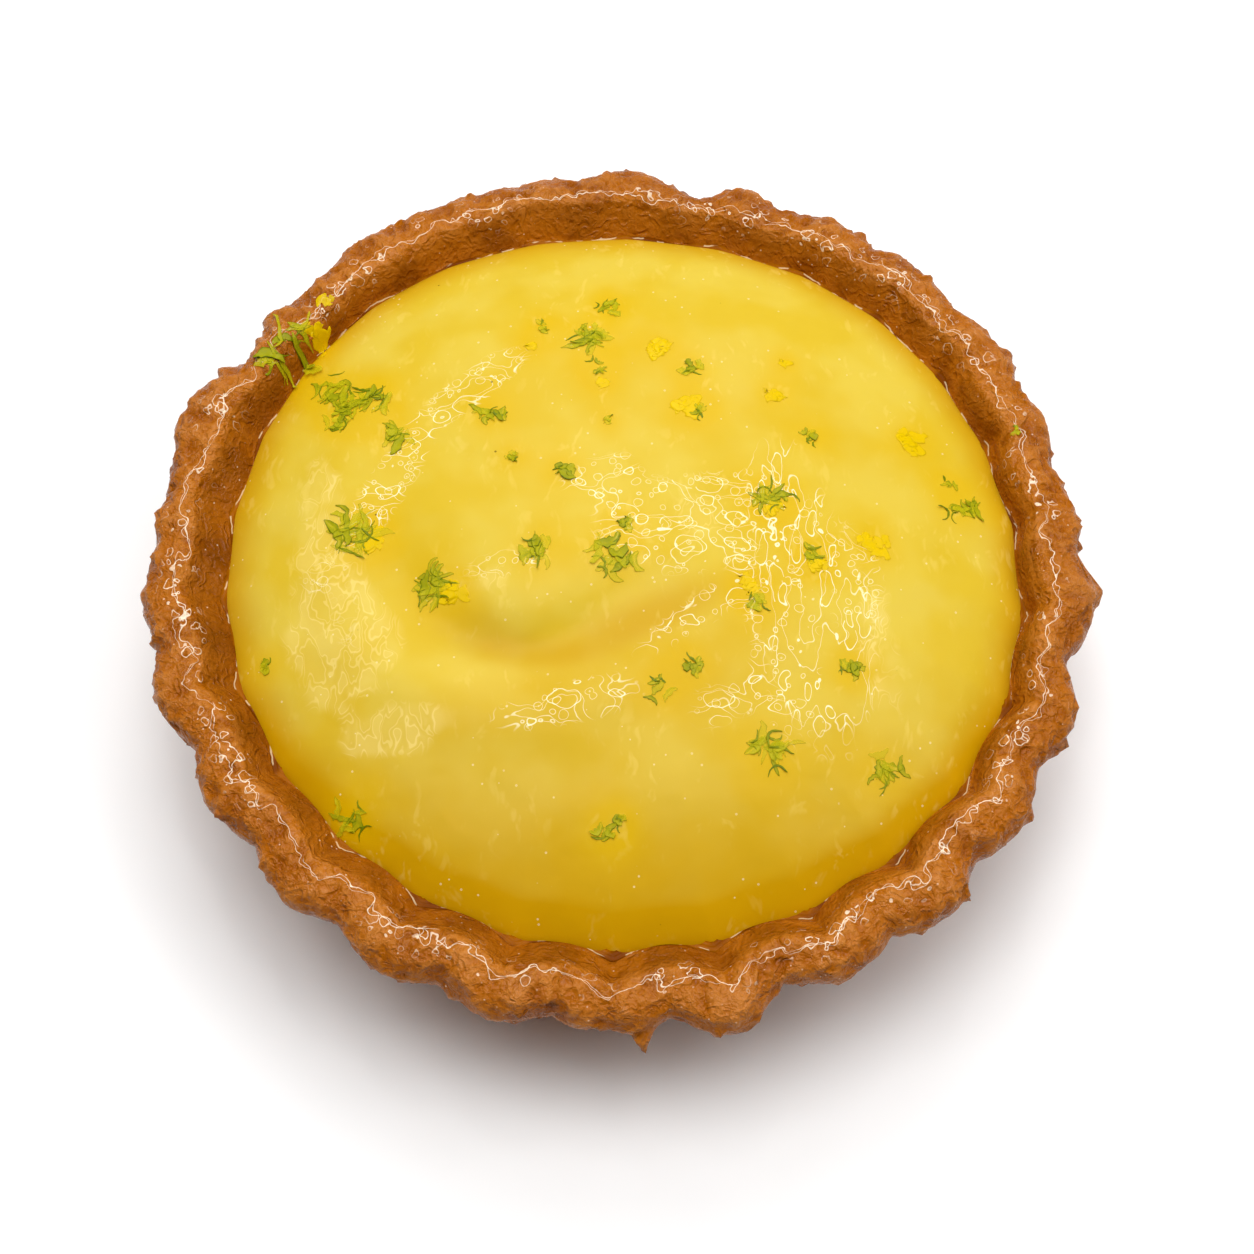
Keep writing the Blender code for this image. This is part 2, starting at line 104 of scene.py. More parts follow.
# %% Waves, flutes and crags of the rim
FLUTES = 26
FIRST_FLUTE = math.radians(5.3)
FLUTE_DEPTH = 0.56
FLUTE_DEPTH_SWAY = ((0.29, 1, 78),)
FLUTE_DRIFT = ((math.radians(0.41), 1, 55), (math.radians(0.56), 3, -6))
OUT_OF_ROUND = ((0.19, 2, 123), (0.24, 3, -144), (0.14, 4, -3), (0.28, 5, 159), (0.17, 6, 87))
INSIDE_OUT_OF_ROUND = ((0.6, 1, -34), (0.41, 2, 74), (0.15, 3, -48), (0.11, 4, 171), (0.18, 5, 107))
LIP_SWELL = ((0.25, 2, 40), (0.2, 7, 10), (0.15, 11, 80))
LIP_CRAGS = (
    (28, 3, 0.7),
    (73, 3, 0.8),
    (78, 3, -1.2),
    (88, 4, 0.8),
    (101, 4, -0.6),
    (124, 5, 0.9),
    (147, 4, -1.2),
    (160, 6, 1.2),
    (170, 3, -1.0),
    (195, 4, 0.5),
    (268, 3, -0.8),
    (282, 4, 0.8),
    (291, 5, -0.7),
    (310, 5, 0.6),
    (345, 4, -0.6),
    (356, 4, 0.9),
)


def flute_wave(azimuth):
    """Phase of the flutes at this azimuth, a half turn for each flute, and their depth there."""
    turn = FLUTES * (azimuth - FIRST_FLUTE - waves(FLUTE_DRIFT, azimuth)) / 2
    return turn, FLUTE_DEPTH + waves(FLUTE_DEPTH_SWAY, azimuth)


def outer_flute(azimuth):
    """Rounded bumps with sharp creases between them, as seen from outside."""
    turn, depth = flute_wave(azimuth)
    return depth * (2 * abs(math.cos(turn)) - 1)


def inner_flute(azimuth):
    """The same flutes seen from inside: rounded lobes inward, sharp creases outward."""
    turn, depth = flute_wave(azimuth)
    return depth * (1 - 2 * abs(math.sin(turn)))


def crag_reach(azimuth):
    bearing = math.degrees(azimuth)
    offsets = [((bearing - middle + 180) % 360 - 180, half, size) for middle, half, size in LIP_CRAGS]
    return sum(size * bell(offset, half) for offset, half, size in offsets)


print(FLUTES, "flutes,", len(LIP_CRAGS), "bulges and bites in the lip")

# %% [markdown]
# ## The section of the shell
# A turned shape starts as half of its section. The outside leans out like the tin, the lip is part of
# an ellipse, and the inside slopes down to the curd. The lip and the slope get many points, because
# crumbs show there. The base and the wall under the curd get few.

# %% Half section of the shell, radius and height in mm
LIP_RADIUS = 49.1
FOOT_RADIUS = 40.6
FOOT_ROUNDING = 1.2
WALL_TOP = (47.2, 17.6)
LIP_CENTRE = (46.0, 20.5)
LIP_HALF_HEIGHT = 2.7
LIP_ANGLES = (-25, 115)
EDGE = (42.2, 19.4)
FLOOR = (36.2, 3.6)
FLOOR_ROUNDING = 1.6
SHELL_STEPS = 720
FINE_PITCH = 0.33


def line(start, end, pitch):
    """Points from start up to, but not with, end, about pitch apart."""
    count = max(1, round(math.dist(start, end) / pitch))
    return [tuple(a + (b - a) * step / count for a, b in zip(start, end)) for step in range(count)]


def lip_arc():
    half_width = LIP_RADIUS - LIP_CENTRE[0]
    first, last = (math.radians(angle) for angle in LIP_ANGLES)
    count = round((last - first) * LIP_HALF_HEIGHT / FINE_PITCH)
    angles = [first + (last - first) * step / count for step in range(count + 1)]
    return [
        (LIP_CENTRE[0] + half_width * math.cos(angle), LIP_CENTRE[1] + LIP_HALF_HEIGHT * math.sin(angle))
        for angle in angles
    ]


def shell_section():
    arc = lip_arc()
    inner_foot = (FLOOR[0], FLOOR[1] + FLOOR_ROUNDING)
    points = [(0.0, 0.0), (FOOT_RADIUS - FOOT_ROUNDING, 0.0)]
    points += line((FOOT_RADIUS, FOOT_ROUNDING), WALL_TOP, 3 * FINE_PITCH)
    points += line(WALL_TOP, arc[0], FINE_PITCH)
    points += arc
    points += line(arc[-1], EDGE, FINE_PITCH)[1:]
    points += line(EDGE, inner_foot, 12 * FINE_PITCH)
    points += [inner_foot, (FLOOR[0] - FLOOR_ROUNDING, FLOOR[1]), (0.0, FLOOR[1])]
    return points


print(len(shell_section()), "points in the section")

# %% [markdown]
# ## Turning a section
# Blender can turn a profile with the Screw modifier or with the spin operator. Spin works inside a
# bmesh, so the points can be moved right after, and use_merge closes the last step onto the first. Many
# fine steps make spin slow, so it takes 90 coarse steps, and each ring is then cut finer.

# %% Spin a half section into a closed body
COARSE_STEPS = 90
SAME_PLACE = 1e-7
MERGE_REACH = 0.005


def runs_round(edge):
    """True for the edges of a ring, which stay at one height."""
    first, second = (corner.co for corner in edge.verts)
    level = abs(first.z - second.z) < SAME_PLACE
    return level and abs(first.xy.length - second.xy.length) < SAME_PLACE


def turned(points, steps, closed=False):
    mesh = bmesh.new()
    corners = [mesh.verts.new((radius * MM, 0.0, height * MM)) for radius, height in points]
    edges = [mesh.edges.new(pair) for pair in zip(corners, corners[1:] + corners[:1] * closed)]
    bmesh.ops.spin(
        mesh,
        geom=corners + edges,
        axis=(0, 0, 1),
        cent=(0, 0, 0),
        angle=math.tau,
        steps=COARSE_STEPS,
        use_merge=True,
    )
    bmesh.ops.remove_doubles(mesh, verts=mesh.verts, dist=MERGE_REACH * MM)
    rings = [edge for edge in mesh.edges if runs_round(edge)]
    bmesh.ops.subdivide_edges(mesh, edges=rings, cuts=steps // COARSE_STEPS - 1, use_grid_fill=True)
    bmesh.ops.recalc_face_normals(mesh, faces=mesh.faces)
    return mesh


def keep_piece(mesh, name):
    """Writes a bmesh to an object at the origin, shaded smooth."""
    data = bpy.data.meshes.new(name)
    mesh.to_mesh(data)
    mesh.free()
    data.shade_smooth()
    piece = bpy.data.objects.new(name, data)
    bpy.context.scene.collection.objects.link(piece)
    print(name, "has", len(data.polygons), "faces")
    return piece


def store_on_points(piece, name, values):
    """Keeps one number for each point of the mesh, for a material to read."""
    attribute = piece.data.attributes.new(name, "FLOAT", "POINT")
    attribute.data.foreach_set("value", values)


# %% [markdown]
# ## Crumbs and crags
# Baked shortcrust is lumpy at every scale: swells of a few millimetres, crumbs under a millimetre, and
# torn flakes along the outer edge. Noise of three sizes gives these. The relief is kept as a number on
# each point, so that the material can toast what stands out, paint highlights on its tips and paint
# shade into what lies deep.

# %% Relief of the baked dough, in mm
SWELL_PITCH, SWELL_SIZE = 3.2, 0.42
CRUMB_PITCH, CRUMB_SIZE = 1.3, 0.24
GRAIN_PITCH, GRAIN_SIZE = 0.7, 0.08
TEAR_PITCH, TEAR_REACH = 1.6, 0.9
TEARS_START, TEARS_SPAN = 0.32, 0.5


def rough(place, pitch):
    """Noise from about -1 to 1 whose lumps are pitch mm apart."""
    return noise.noise(place / pitch)


def dough_relief(place):
    swell = SWELL_SIZE * rough(place, SWELL_PITCH)
    crumb = CRUMB_SIZE * (1 - 2 * abs(rough(place + Vector((31, 0, 0)), CRUMB_PITCH)))
    grain = GRAIN_SIZE * rough(place + Vector((0, 47, 0)), GRAIN_PITCH)
    return swell, crumb + grain


def torn_edge(place):
    """Flakes that stand out from the outside of the lip, sharp on one side."""
    flake = rough(place + Vector((0, 0, 83)), TEAR_PITCH)
    return TEAR_REACH * max(0.0, flake - TEARS_START) / TEARS_SPAN


# %% [markdown]
# ## Thorns of dough
# Where dough caught on the tin it pulled out into small thorns. Each is a cone that leans out of the
# lip, given by its bearing, height, reach and half width. The longest hangs at the front.

# %% Thorns that stand out of the lip
THORNS = (
    (272.3, 18.8, 2.9, 1.9),
    (1.7, 20.5, 1.0, 0.9),
    (313.0, 20.0, 0.8, 0.9),
    (291.2, 19.5, 0.6, 0.8),
    (190.6, 20.8, 0.7, 1.0),
    (153.4, 21.4, 0.7, 1.0),
    (139.0, 21.2, 0.6, 0.8),
    (121.2, 21.6, 0.4, 0.7),
    (97.9, 21.6, 0.6, 0.8),
    (57.0, 21.2, 0.6, 0.8),
    (27.9, 21.0, 0.6, 0.8),
)
THORN_POINT = 2.2


def thorn_reach(azimuth, height):
    bearing = math.degrees(azimuth)
    reach = 0.0
    for middle, level, size, half in THORNS:
        turn = (bearing - middle + 180) % 360 - 180
        along = math.radians(turn) * LIP_RADIUS
        reach += size * max(0.0, 1 - math.hypot(along, height - level) / half) ** THORN_POINT
    return reach


# %% [markdown]
# ## The shell
# The spun body is moved point by point: flutes and waves first, then relief on what shows. Inside, the
# lobes of the dough stand out above the curd's edge, and below it the wall keeps the shape that the
# solid has, so the curd fits it. The points also keep how far they lie from the ridge of the lip, and
# how much shade is painted on the inside there.

# %% Shape and keep the shell
FLUTE_SHARE_AT_FOOT = 0.55
FLUTE_SHARE_INSIDE = 0.3
LOBE_SHARE = 0.95
LOBES_START = EDGE[1] - 1.5
HALFWAY_AT_FOOT = (FOOT_RADIUS + FLOOR[0]) / 2
RIDGE_RADIUS = 45.6
FAR_FROM_RIDGE = 9.0
RELIEF_INSIDE = 0.35
RELIEF_STARTS_OUTSIDE = (0, 2)
RELIEF_STARTS_INSIDE = (EDGE[1] - 0.5, EDGE[1] + 1.2)
LIP_LIFT = 0.8
TORN_RADII = (46.5, 48.5)
TORN_HEIGHTS = (16, 19)
# Painted shade on the inside of the shell: bearing, half width and share of each darker side.
PAINTED_INNER_SHADE = ((188, 38, 0.5), (262, 40, 0.35), (88, 22, 0.1))
CREASE_PAINTED_SHADE = 0.28
CREASES_START = 0.72


def inside_shift(azimuth, share=FLUTE_SHARE_INSIDE):
    return waves(INSIDE_OUT_OF_ROUND, azimuth) + share * inner_flute(azimuth)


def outside_share(radius, height):
    """0 on the inner face of the dough, 1 on its outer face."""
    halfway = HALFWAY_AT_FOOT + (LIP_CENTRE[0] - HALFWAY_AT_FOOT) * height / LIP_CENTRE[1]
    return smooth_share(halfway - 1, halfway + 1, radius)


def shape_shell(point, azimuth, flutes):
    """New place of a point of the spun shell and how far its relief stands out, all in mm."""
    radius, height = math.hypot(point.x, point.y), point.z
    outer, inner, crag, round_outside, round_inside, swell = flutes
    outside = outside_share(radius, height)
    on_lip = smooth_share(EDGE[1], EDGE[1] + LIP_HALF_HEIGHT, height)
    beyond_edge = max(outside, on_lip)
    outer_share = FLUTE_SHARE_AT_FOOT + (1 - FLUTE_SHARE_AT_FOOT) * smooth_share(0, WALL_TOP[1], height)
    inner_share = FLUTE_SHARE_INSIDE
    inner_share += (LOBE_SHARE - FLUTE_SHARE_INSIDE) * smooth_share(LOBES_START, EDGE[1], height)
    shift = beyond_edge * round_outside + (1 - beyond_edge) * round_inside
    shift += outside * outer_share * outer + (1 - outside) * inner_share * inner
    shift += outside * smooth_share(WALL_TOP[1] / 2, WALL_TOP[1], height) * crag
    broad, fine = dough_relief(point)
    shown = outside * smooth_share(*RELIEF_STARTS_OUTSIDE, height)
    shown = max(shown, smooth_share(*RELIEF_STARTS_INSIDE, height))
    torn = torn_edge(point) * smooth_share(*TORN_RADII, radius) * smooth_share(*TORN_HEIGHTS, height)
    torn += outside * thorn_reach(azimuth, height)
    shift += shown * (broad + fine) * (RELIEF_INSIDE + (1 - RELIEF_INSIDE) * outside) + torn
    radius += shift
    lift = on_lip * (swell + LIP_LIFT * broad + fine)
    place = Vector((radius * math.cos(azimuth), radius * math.sin(azimuth), height + lift))
    return place, fine + broad / 2


def painted_inner_shade_share(azimuth):
    """Painted shade on the inside here: darker on some sides, and deep in the creases."""
    bearing = math.degrees(azimuth)
    inner_shade = sum(size * bell((bearing - middle + 180) % 360 - 180, half) for middle, half, size in PAINTED_INNER_SHADE)
    in_crease = smooth_share(CREASES_START, 1.0, abs(math.sin(flute_wave(azimuth)[0])))
    return inner_shade + CREASE_PAINTED_SHADE * in_crease


def make_shell():
    mesh = turned(shell_section(), SHELL_STEPS)
    relief, ridge, inner_shade = [], [], []
    for corner in mesh.verts:
        point = corner.co / MM
        radius = math.hypot(point.x, point.y)
        ridge.append(radius - RIDGE_RADIUS if point.z > EDGE[1] else FAR_FROM_RIDGE)
        inner_shade.append(painted_inner_shade_share(math.atan2(point.y, point.x)))
        if radius < FLOOR[0] - 2 * FLOOR_ROUNDING:
            relief.append(0.0)
            continue
        azimuth = math.atan2(point.y, point.x)
        flutes = (
            outer_flute(azimuth),
            inner_flute(azimuth),
            crag_reach(azimuth),
            waves(OUT_OF_ROUND, azimuth),
            waves(INSIDE_OUT_OF_ROUND, azimuth),
            waves(LIP_SWELL, azimuth),
        )
        place, stands_out = shape_shell(point, azimuth, flutes)
        corner.co = place * MM
        relief.append(stands_out)
    piece = keep_piece(mesh, "pastry_shell")
    store_on_points(piece, "relief", relief)
    store_on_points(piece, "ridge", ridge)
    store_on_points(piece, "inner_shade", inner_shade)
    return piece


shell = make_shell()
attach(shell, "root")
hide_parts("crust")

# %% [markdown]
# ## The spoon's last stroke
# The curd was heaped, turned with the back of a spoon and glazed. What is left is a dome, a groove that
# curls round a raised lobe, and a soft crest outside the groove. The groove follows a smooth curve
# through seven points, and its depth fades along the curl.

# %% The curd's surface as a height over each plan point
DOME_RISE = 8.5
DOME_POWER = 2.4
DOME_ROUNDING = 0.75
CALM_SHARE_AT_EDGE = 0.15
SWIRL_PATH = ((12, -4.8), (3, -6.4), (-8.5, -12.3), (-19.0, -8.6), (-23.6, 2), (-20.6, 14), (-12, 18.4))
SWIRL_SAMPLES = 400
SWIRL_CENTRE = (-8, 3)
GROOVE_DEPTH = 1.2
GROOVE_WIDTHS = (2.9, 4.2)
STROKE_DEEPENS = (0.0, 0.38)
STROKE_EASES = (0.35, 0.7)
STROKE_ENDS = (0.8, 1.0)
STROKE_EASED_BY = 0.75
LOBE = (-6.5, -1.5, 0.9, 9.0)
CREST = (0.5, 7.5, 3.2)


def swirl_samples():
    """Points along the groove: a Catmull-Rom curve through the path's points."""
    knots = [Vector(point) for point in SWIRL_PATH]
    knots = [2 * knots[0] - knots[1]] + knots + [2 * knots[-1] - knots[-2]]
    spans = len(SWIRL_PATH) - 1
    samples = []
    for step in range(SWIRL_SAMPLES + 1):
        place = spans * step / SWIRL_SAMPLES
        span = min(int(place), spans - 1)
        t = place - span
        before, start, end, after = knots[span : span + 4]
        bend = (2 * before - 5 * start + 4 * end - after) * t**2
        turn = (3 * start - before - 3 * end + after) * t**3
        samples.append((2 * start + (end - before) * t + bend + turn) / 2)
    return samples


GROOVE = swirl_samples()
GROOVE_FINDER = KDTree(len(GROOVE))
for step, point in enumerate(GROOVE):
    GROOVE_FINDER.insert((*point, 0.0), step)
GROOVE_FINDER.balance()


def groove_at(x, y):
    """The stroke's strength beside this point, its distance, and whether the point is outside its curl."""
    _, nearest, distance = GROOVE_FINDER.find((x, y, 0.0))
    along = nearest / SWIRL_SAMPLES
    outward = math.dist((x, y), SWIRL_CENTRE) > math.dist(GROOVE[nearest], SWIRL_CENTRE)
    strength = smooth_share(*STROKE_DEEPENS, along)
    strength *= 1 - STROKE_EASED_BY * smooth_share(*STROKE_EASES, along)
    strength *= 1 - smooth_share(*STROKE_ENDS, along)
    return strength, distance, outward


def swirl_relief(x, y):
    """Height that the spoon's stroke adds to the dome or takes from it."""
    strength, distance, outward = groove_at(x, y)
    relief = -GROOVE_DEPTH * strength * bell(distance, GROOVE_WIDTHS[outward])
    relief += LOBE[2] * bell(math.dist((x, y), LOBE[:2]), LOBE[3])
    if outward:
        relief += CREST[0] * strength * bell(distance - CREST[1], CREST[2])
    return relief


def curd_height(x, y):
    azimuth = math.atan2(y, x)
    edge = EDGE[0] + inside_shift(azimuth)
    radius = math.hypot(x, y)
    inward = min(radius / edge, 1.0)
    rise = DOME_RISE * (1 - inward**DOME_POWER) ** DOME_ROUNDING
    fade = smooth_share(0.0, CALM_SHARE_AT_EDGE, 1 - inward)
    return EDGE[1] + rise + fade * swirl_relief(x, y)


print("top of the dome, mm:", round(curd_height(-6, -1), 1), "solid:", round(CURD_HIGH.z / MM, 1))

# %% [markdown]
# ## The curd
# The curd is turned like the shell, with rings close together where the swirl and the rolled edge are.
# Its edge runs a little into the pastry, as a filling clings to its shell. Broad, shallow undulations
# stop the glaze from mirroring the light like glass.

# %% Shape and keep the curd
CURD_STEPS = 630
CURD_RINGS = 100
CURD_CLING = 0.6
CURD_DIP = 0.9
HIDDEN_PITCH = 4.0
RINGS_CROWD_OUT = 1.15
CALM_REACH = 4.0
WOBBLE = ((9.0, 0.16), (4.2, 0.06))
FLOOR_GAP = 0.3


def curd_section():
    edge = (EDGE[0] + CURD_CLING, EDGE[1] - CURD_DIP)
    foot = (FLOOR[0] - FLOOR_GAP, FLOOR[1] + FLOOR_ROUNDING)
    points = [(0.0, FLOOR[1] + FLOOR_GAP), (FLOOR[0] - FLOOR_ROUNDING - FLOOR_GAP, FLOOR[1] + FLOOR_GAP)]
    points += line(foot, edge, HIDDEN_PITCH)
    points.append(edge)
    rings = [EDGE[0] * (1 - (ring / CURD_RINGS) ** RINGS_CROWD_OUT) for ring in range(CURD_RINGS)]
    points += [(radius, EDGE[1] + DOME_RISE) for radius in rings]
    points.append((0.0, EDGE[1] + DOME_RISE))
    return points


def wobble(x, y):
    place = Vector((x, y, 5.0))
    return sum(size * rough(place, pitch) for pitch, size in WOBBLE)


def make_curd():
    mesh = turned(curd_section(), CURD_STEPS)
    for corner in mesh.verts:
        point = corner.co / MM
        azimuth = math.atan2(point.y, point.x)
        radius = math.hypot(point.x, point.y)
        radius += inside_shift(azimuth) * smooth_share(FLOOR[0] / 2, FLOOR[0], radius)
        x, y = radius * math.cos(azimuth), radius * math.sin(azimuth)
        height = point.z
        if height > EDGE[1] + DOME_RISE / 2:
            calm = smooth_share(0.0, CALM_REACH, EDGE[0] - radius)
            height = curd_height(x, y) + calm * wobble(x, y)
        corner.co = Vector((x, y, height)) * MM
    return keep_piece(mesh, "curd_dome")


curd = make_curd()
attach(curd, "root")
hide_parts("lemon_curd")

# %% [markdown]
# ## A bead of glaze
# The glaze ran down the dome and gathered in the gap between curd and pastry. It fills the gap with a
# glossy bead that sags in the middle, which shows as a dark amber line; the bright dashes on it are
# painted highlights. Its section hangs between the two surfaces.

# %% Bead of glaze round the curd
BEAD_STEPS = 720
BEAD_SECTION = ((-0.75, 0.45), (-0.3, 0.2), (0.0, 0.16), (0.32, 0.35), (0.0, -0.6))
BEAD_UNEVEN = 0.18
BEAD_UNEVEN_PITCH = 3.0


def make_bead():
    mesh = turned([(EDGE[0] + out, EDGE[1] + up) for out, up in BEAD_SECTION], BEAD_STEPS, closed=True)
    across = []
    for corner in mesh.verts:
        point = corner.co / MM
        azimuth = math.atan2(point.y, point.x)
        across.append(math.hypot(point.x, point.y) - EDGE[0])
        radius = math.hypot(point.x, point.y) + inside_shift(azimuth, LOBE_SHARE)
        lift = BEAD_UNEVEN * rough(Vector((point.x, point.y, 0.0)), BEAD_UNEVEN_PITCH)
        corner.co = Vector((radius * math.cos(azimuth), radius * math.sin(azimuth), point.z + lift)) * MM
    piece = keep_piece(mesh, "glaze_bead")
    store_on_points(piece, "across", across)
    return piece


bead = make_bead()
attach(bead, "root")

# %% [markdown]
# ## Where the zest lies
# Each tuft of zest is given by its plan place, its spread and its number of shreds, all in millimetres.
# A ray shot down onto the finished pieces finds the surface under any plan point, so shreds follow
# dome, groove and rim alike.

# %% Tufts of zest and the surface under them
GREEN_TUFTS = (
    (-31.5, 20.5, 2.4, 8),
    (-28.6, 18.0, 2.4, 8),
    (-29.8, 15.6, 1.8, 5),
    (-25.6, 18.0, 2.0, 6),
    (-23.4, 13.2, 2.0, 5),
    (-27.3, 1.3, 2.8, 12),
    (-19.3, -5.2, 2.4, 9),
    (-8.0, -2.3, 1.9, 7),
    (-3.1, 24.6, 2.3, 10),
    (-1.9, 20.8, 1.3, 3),
    (-0.7, 29.5, 1.8, 5),
    (-7.8, 26.5, 1.0, 2),
    (-13.5, 15.1, 1.8, 4),
    (-11.0, 9.1, 0.8, 3),
    (-5.8, 7.7, 1.5, 3),
    (0.6, 0.9, 1.1, 3),
    (-0.2, -2.8, 2.2, 8),
    (7.9, 20.4, 1.2, 3),
    (8.9, 14.8, 1.1, 3),
    (-0.9, 13.6, 0.6, 1),
    (20.6, 12.0, 1.1, 3),
    (15.6, 4.7, 2.0, 7),
    (19.9, -2.2, 1.2, 4),
    (35.5, 8.1, 0.9, 2),
    (36.4, 4.9, 2.1, 6),
    (13.8, -7.7, 1.2, 4),
    (23.7, -14.2, 1.4, 4),
    (6.9, -15.0, 1.4, 3),
    (3.8, -17.0, 1.5, 3),
    (14.5, -23.0, 2.2, 8),
    (26.4, -24.7, 2.0, 6),
    (-1.3, -31.5, 1.3, 3),
    (-0.4, -30.0, 0.9, 2),
    (-36.3, -11.9, 0.9, 2),
    (-26.8, -28.2, 1.9, 5),
    (-37.6, 23.6, 1.9, 5),
    (-35.6, 27.0, 1.8, 4),
    (43.3, 14.2, 0.8, 2),
)
YELLOW_TUFTS = (
    (4.3, 23.6, 1.7, 3),
    (7.7, 15.6, 1.7, 3),
    (17.0, 17.4, 1.0, 2),
    (18.3, 21.7, 0.7, 1),
    (26.8, -0.2, 1.6, 3),
    (31.6, 12.6, 1.8, 4),
    (-9.1, 23.8, 0.9, 1),
    (-1.7, 18.6, 0.9, 1),
    (16.3, 3.4, 1.3, 2),
    (-32.6, 31.6, 1.1, 1),
    (-33.3, 28.3, 1.5, 2),
    (-25.0, 0.2, 1.6, 3),
    (-17.0, -6.2, 1.5, 3),
    (13.6, -5.5, 1.0, 2),
    (20.3, -3.4, 1.0, 2),
)


def tree_of(piece):
    mesh = bmesh.new()
    mesh.from_mesh(piece.data)
    tree = BVHTree.FromBMesh(mesh)
    mesh.free()
    return tree


SURFACES = (tree_of(curd), tree_of(shell))


def surface_under(x, y):
    """Highest point and normal under a plan point, in mm."""
    start = Vector((x * MM, y * MM, 2 * SOLID_BOX[1].z))
    hits = [tree.ray_cast(start, Vector((0, 0, -1))) for tree in SURFACES]
    place, normal = max(((hit[0], hit[1]) for hit in hits if hit[0]), key=lambda found: found[0].z)
    return place / MM, normal


print(len(GREEN_TUFTS), "green tufts,", len(YELLOW_TUFTS), "yellow tufts")

# %% [markdown]
# ## One flake
# A fine grater lifts zest as thin flakes and threads with ragged edges, which fold and curl as they
# fall. A small grid is bent along a wandering heading, its edges are made ragged, its ends lift off the
# surface, and it is given a thin thickness. The cut edges are darker than the middle, which the light
# shines through, so each point keeps a shade.

# %% Lay one ragged flake of zest
FLAKE_STEPS = 8
FLAKE_THICKNESS = 0.06
FLAKE_MARGIN = 0.7
TAPER_STARTS, TAPER_SPAN, TAPER_POWER = 0.04, 0.92, 0.8
RAGGED = (0.45, 1.4)
EDGE_SHADE = 0.7
FLAKE_CLEARANCE = 0.04
HEADING_WANDER = 0.3


def flake_line(x, y, heading, length, bend, dice):
    """Plan points and headings along a flake that starts half its length back from x, y."""
    step = length / FLAKE_STEPS
    heading -= bend / 2
    x -= length / 2 * math.cos(heading)
    y -= length / 2 * math.sin(heading)
    points = []
    for _ in range(FLAKE_STEPS + 1):
        points.append((x, y, heading))
        x += step * math.cos(heading)
        y += step * math.sin(heading)
        heading += bend / FLAKE_STEPS + dice.uniform(-HEADING_WANDER, HEADING_WANDER)
    return points


def add_flake(mesh, shade_layer, points, width, lifts, fold, shade, edge_shade, dice):
    """Adds one flake to the mesh: a grid laid along the points, then thickened."""
    made = bmesh.ops.create_grid(mesh, x_segments=FLAKE_STEPS, y_segments=4, size=0.5)
    corners = made["verts"]
    first_lift, last_lift = lifts
    places = [(step, side) for step in range(FLAKE_STEPS + 1) for side in (-1, 0, 1)]
    reach = {place: dice.uniform(*RAGGED) for place in places}
    for corner in corners:
        share = corner.co.x + 0.5
        step = round(share * FLAKE_STEPS)
        across_share = 2 * corner.co.y
        side = (across_share > 0.1) - (across_share < -0.1)
        at_edge = abs(across_share) > 0.9
        x, y, heading = points[step]
        taper = math.sin(math.pi * (TAPER_STARTS + TAPER_SPAN * share)) ** TAPER_POWER
        offset = side * width / 2 * taper * reach[step, side] * (1 if at_edge else FLAKE_MARGIN)
        ground, normal = surface_under(x, y)
        across = Vector((-math.sin(heading), math.cos(heading), 0.0))
        across -= normal * across.dot(normal)
        lift = FLAKE_CLEARANCE + first_lift * (1 - share) ** 3 + last_lift * share**3
        lift += fold * abs(offset)
        corner.co = (ground + across * offset + normal * lift) * MM
        corner[shade_layer] = shade - edge_shade * at_edge
    faces = list({face for corner in corners for face in corner.link_faces})
    before = set(mesh.verts)
    bmesh.ops.solidify(mesh, geom=faces, thickness=FLAKE_THICKNESS * MM)
    for corner in set(mesh.verts) - before:
        corner[shade_layer] = shade - edge_shade / 2


# %% [markdown]
# ## Tufts
# In a green tuft the flakes cross each other, and every third one is a narrow, dark thread that stands
# up more. The yellow tufts are flat patches. Every draw comes from a seeded generator, so the zest
# falls the same way each time the script runs. A few longer curls hang over the rim at the back left.

# %% Scatter the flakes and keep them as two pieces
ZEST_SEED = 11
FLAKE_LENGTHS = (0.8, 1.6)
FLAKES_FOR_SHRED = 2
FLAKE_CURL = 3.0
FLAKE_SHADES = (0.4, 1.5)
FLAKE_FOLD = 0.3
HEADING_SPREAD = 0.9
TUFT_FILL = 0.75
THREAD_WIDTHS = (0.16, 0.32)
THREAD_LENGTHS = (0.7, 1.4)
THREAD_SHADES = (0.0, 0.25)
THREAD_LIFT = 1.6
CURL_LIFTS = (0.5, 0.3)
CURL_FOLD = 0.3
RIM_CURLS = (
    # x, y, heading in degrees, length, bend, width, shade
    (-36.0, 27.2, 100, 5.2, 1.5, 0.55, 0.9),
    (-36.6, 23.9, -75, 4.8, -0.9, 0.6, 0.8),
    (-33.9, 24.0, -35, 3.0, 0.7, 1.7, 1.5),
    (-35.2, 24.6, 150, 4.2, -0.8, 0.9, 0.5),
    (-38.0, 24.8, 170, 3.0, 0.9, 1.1, 0.5),
    (-34.0, 28.0, 70, 3.2, 1.8, 0.5, 1.2),
)


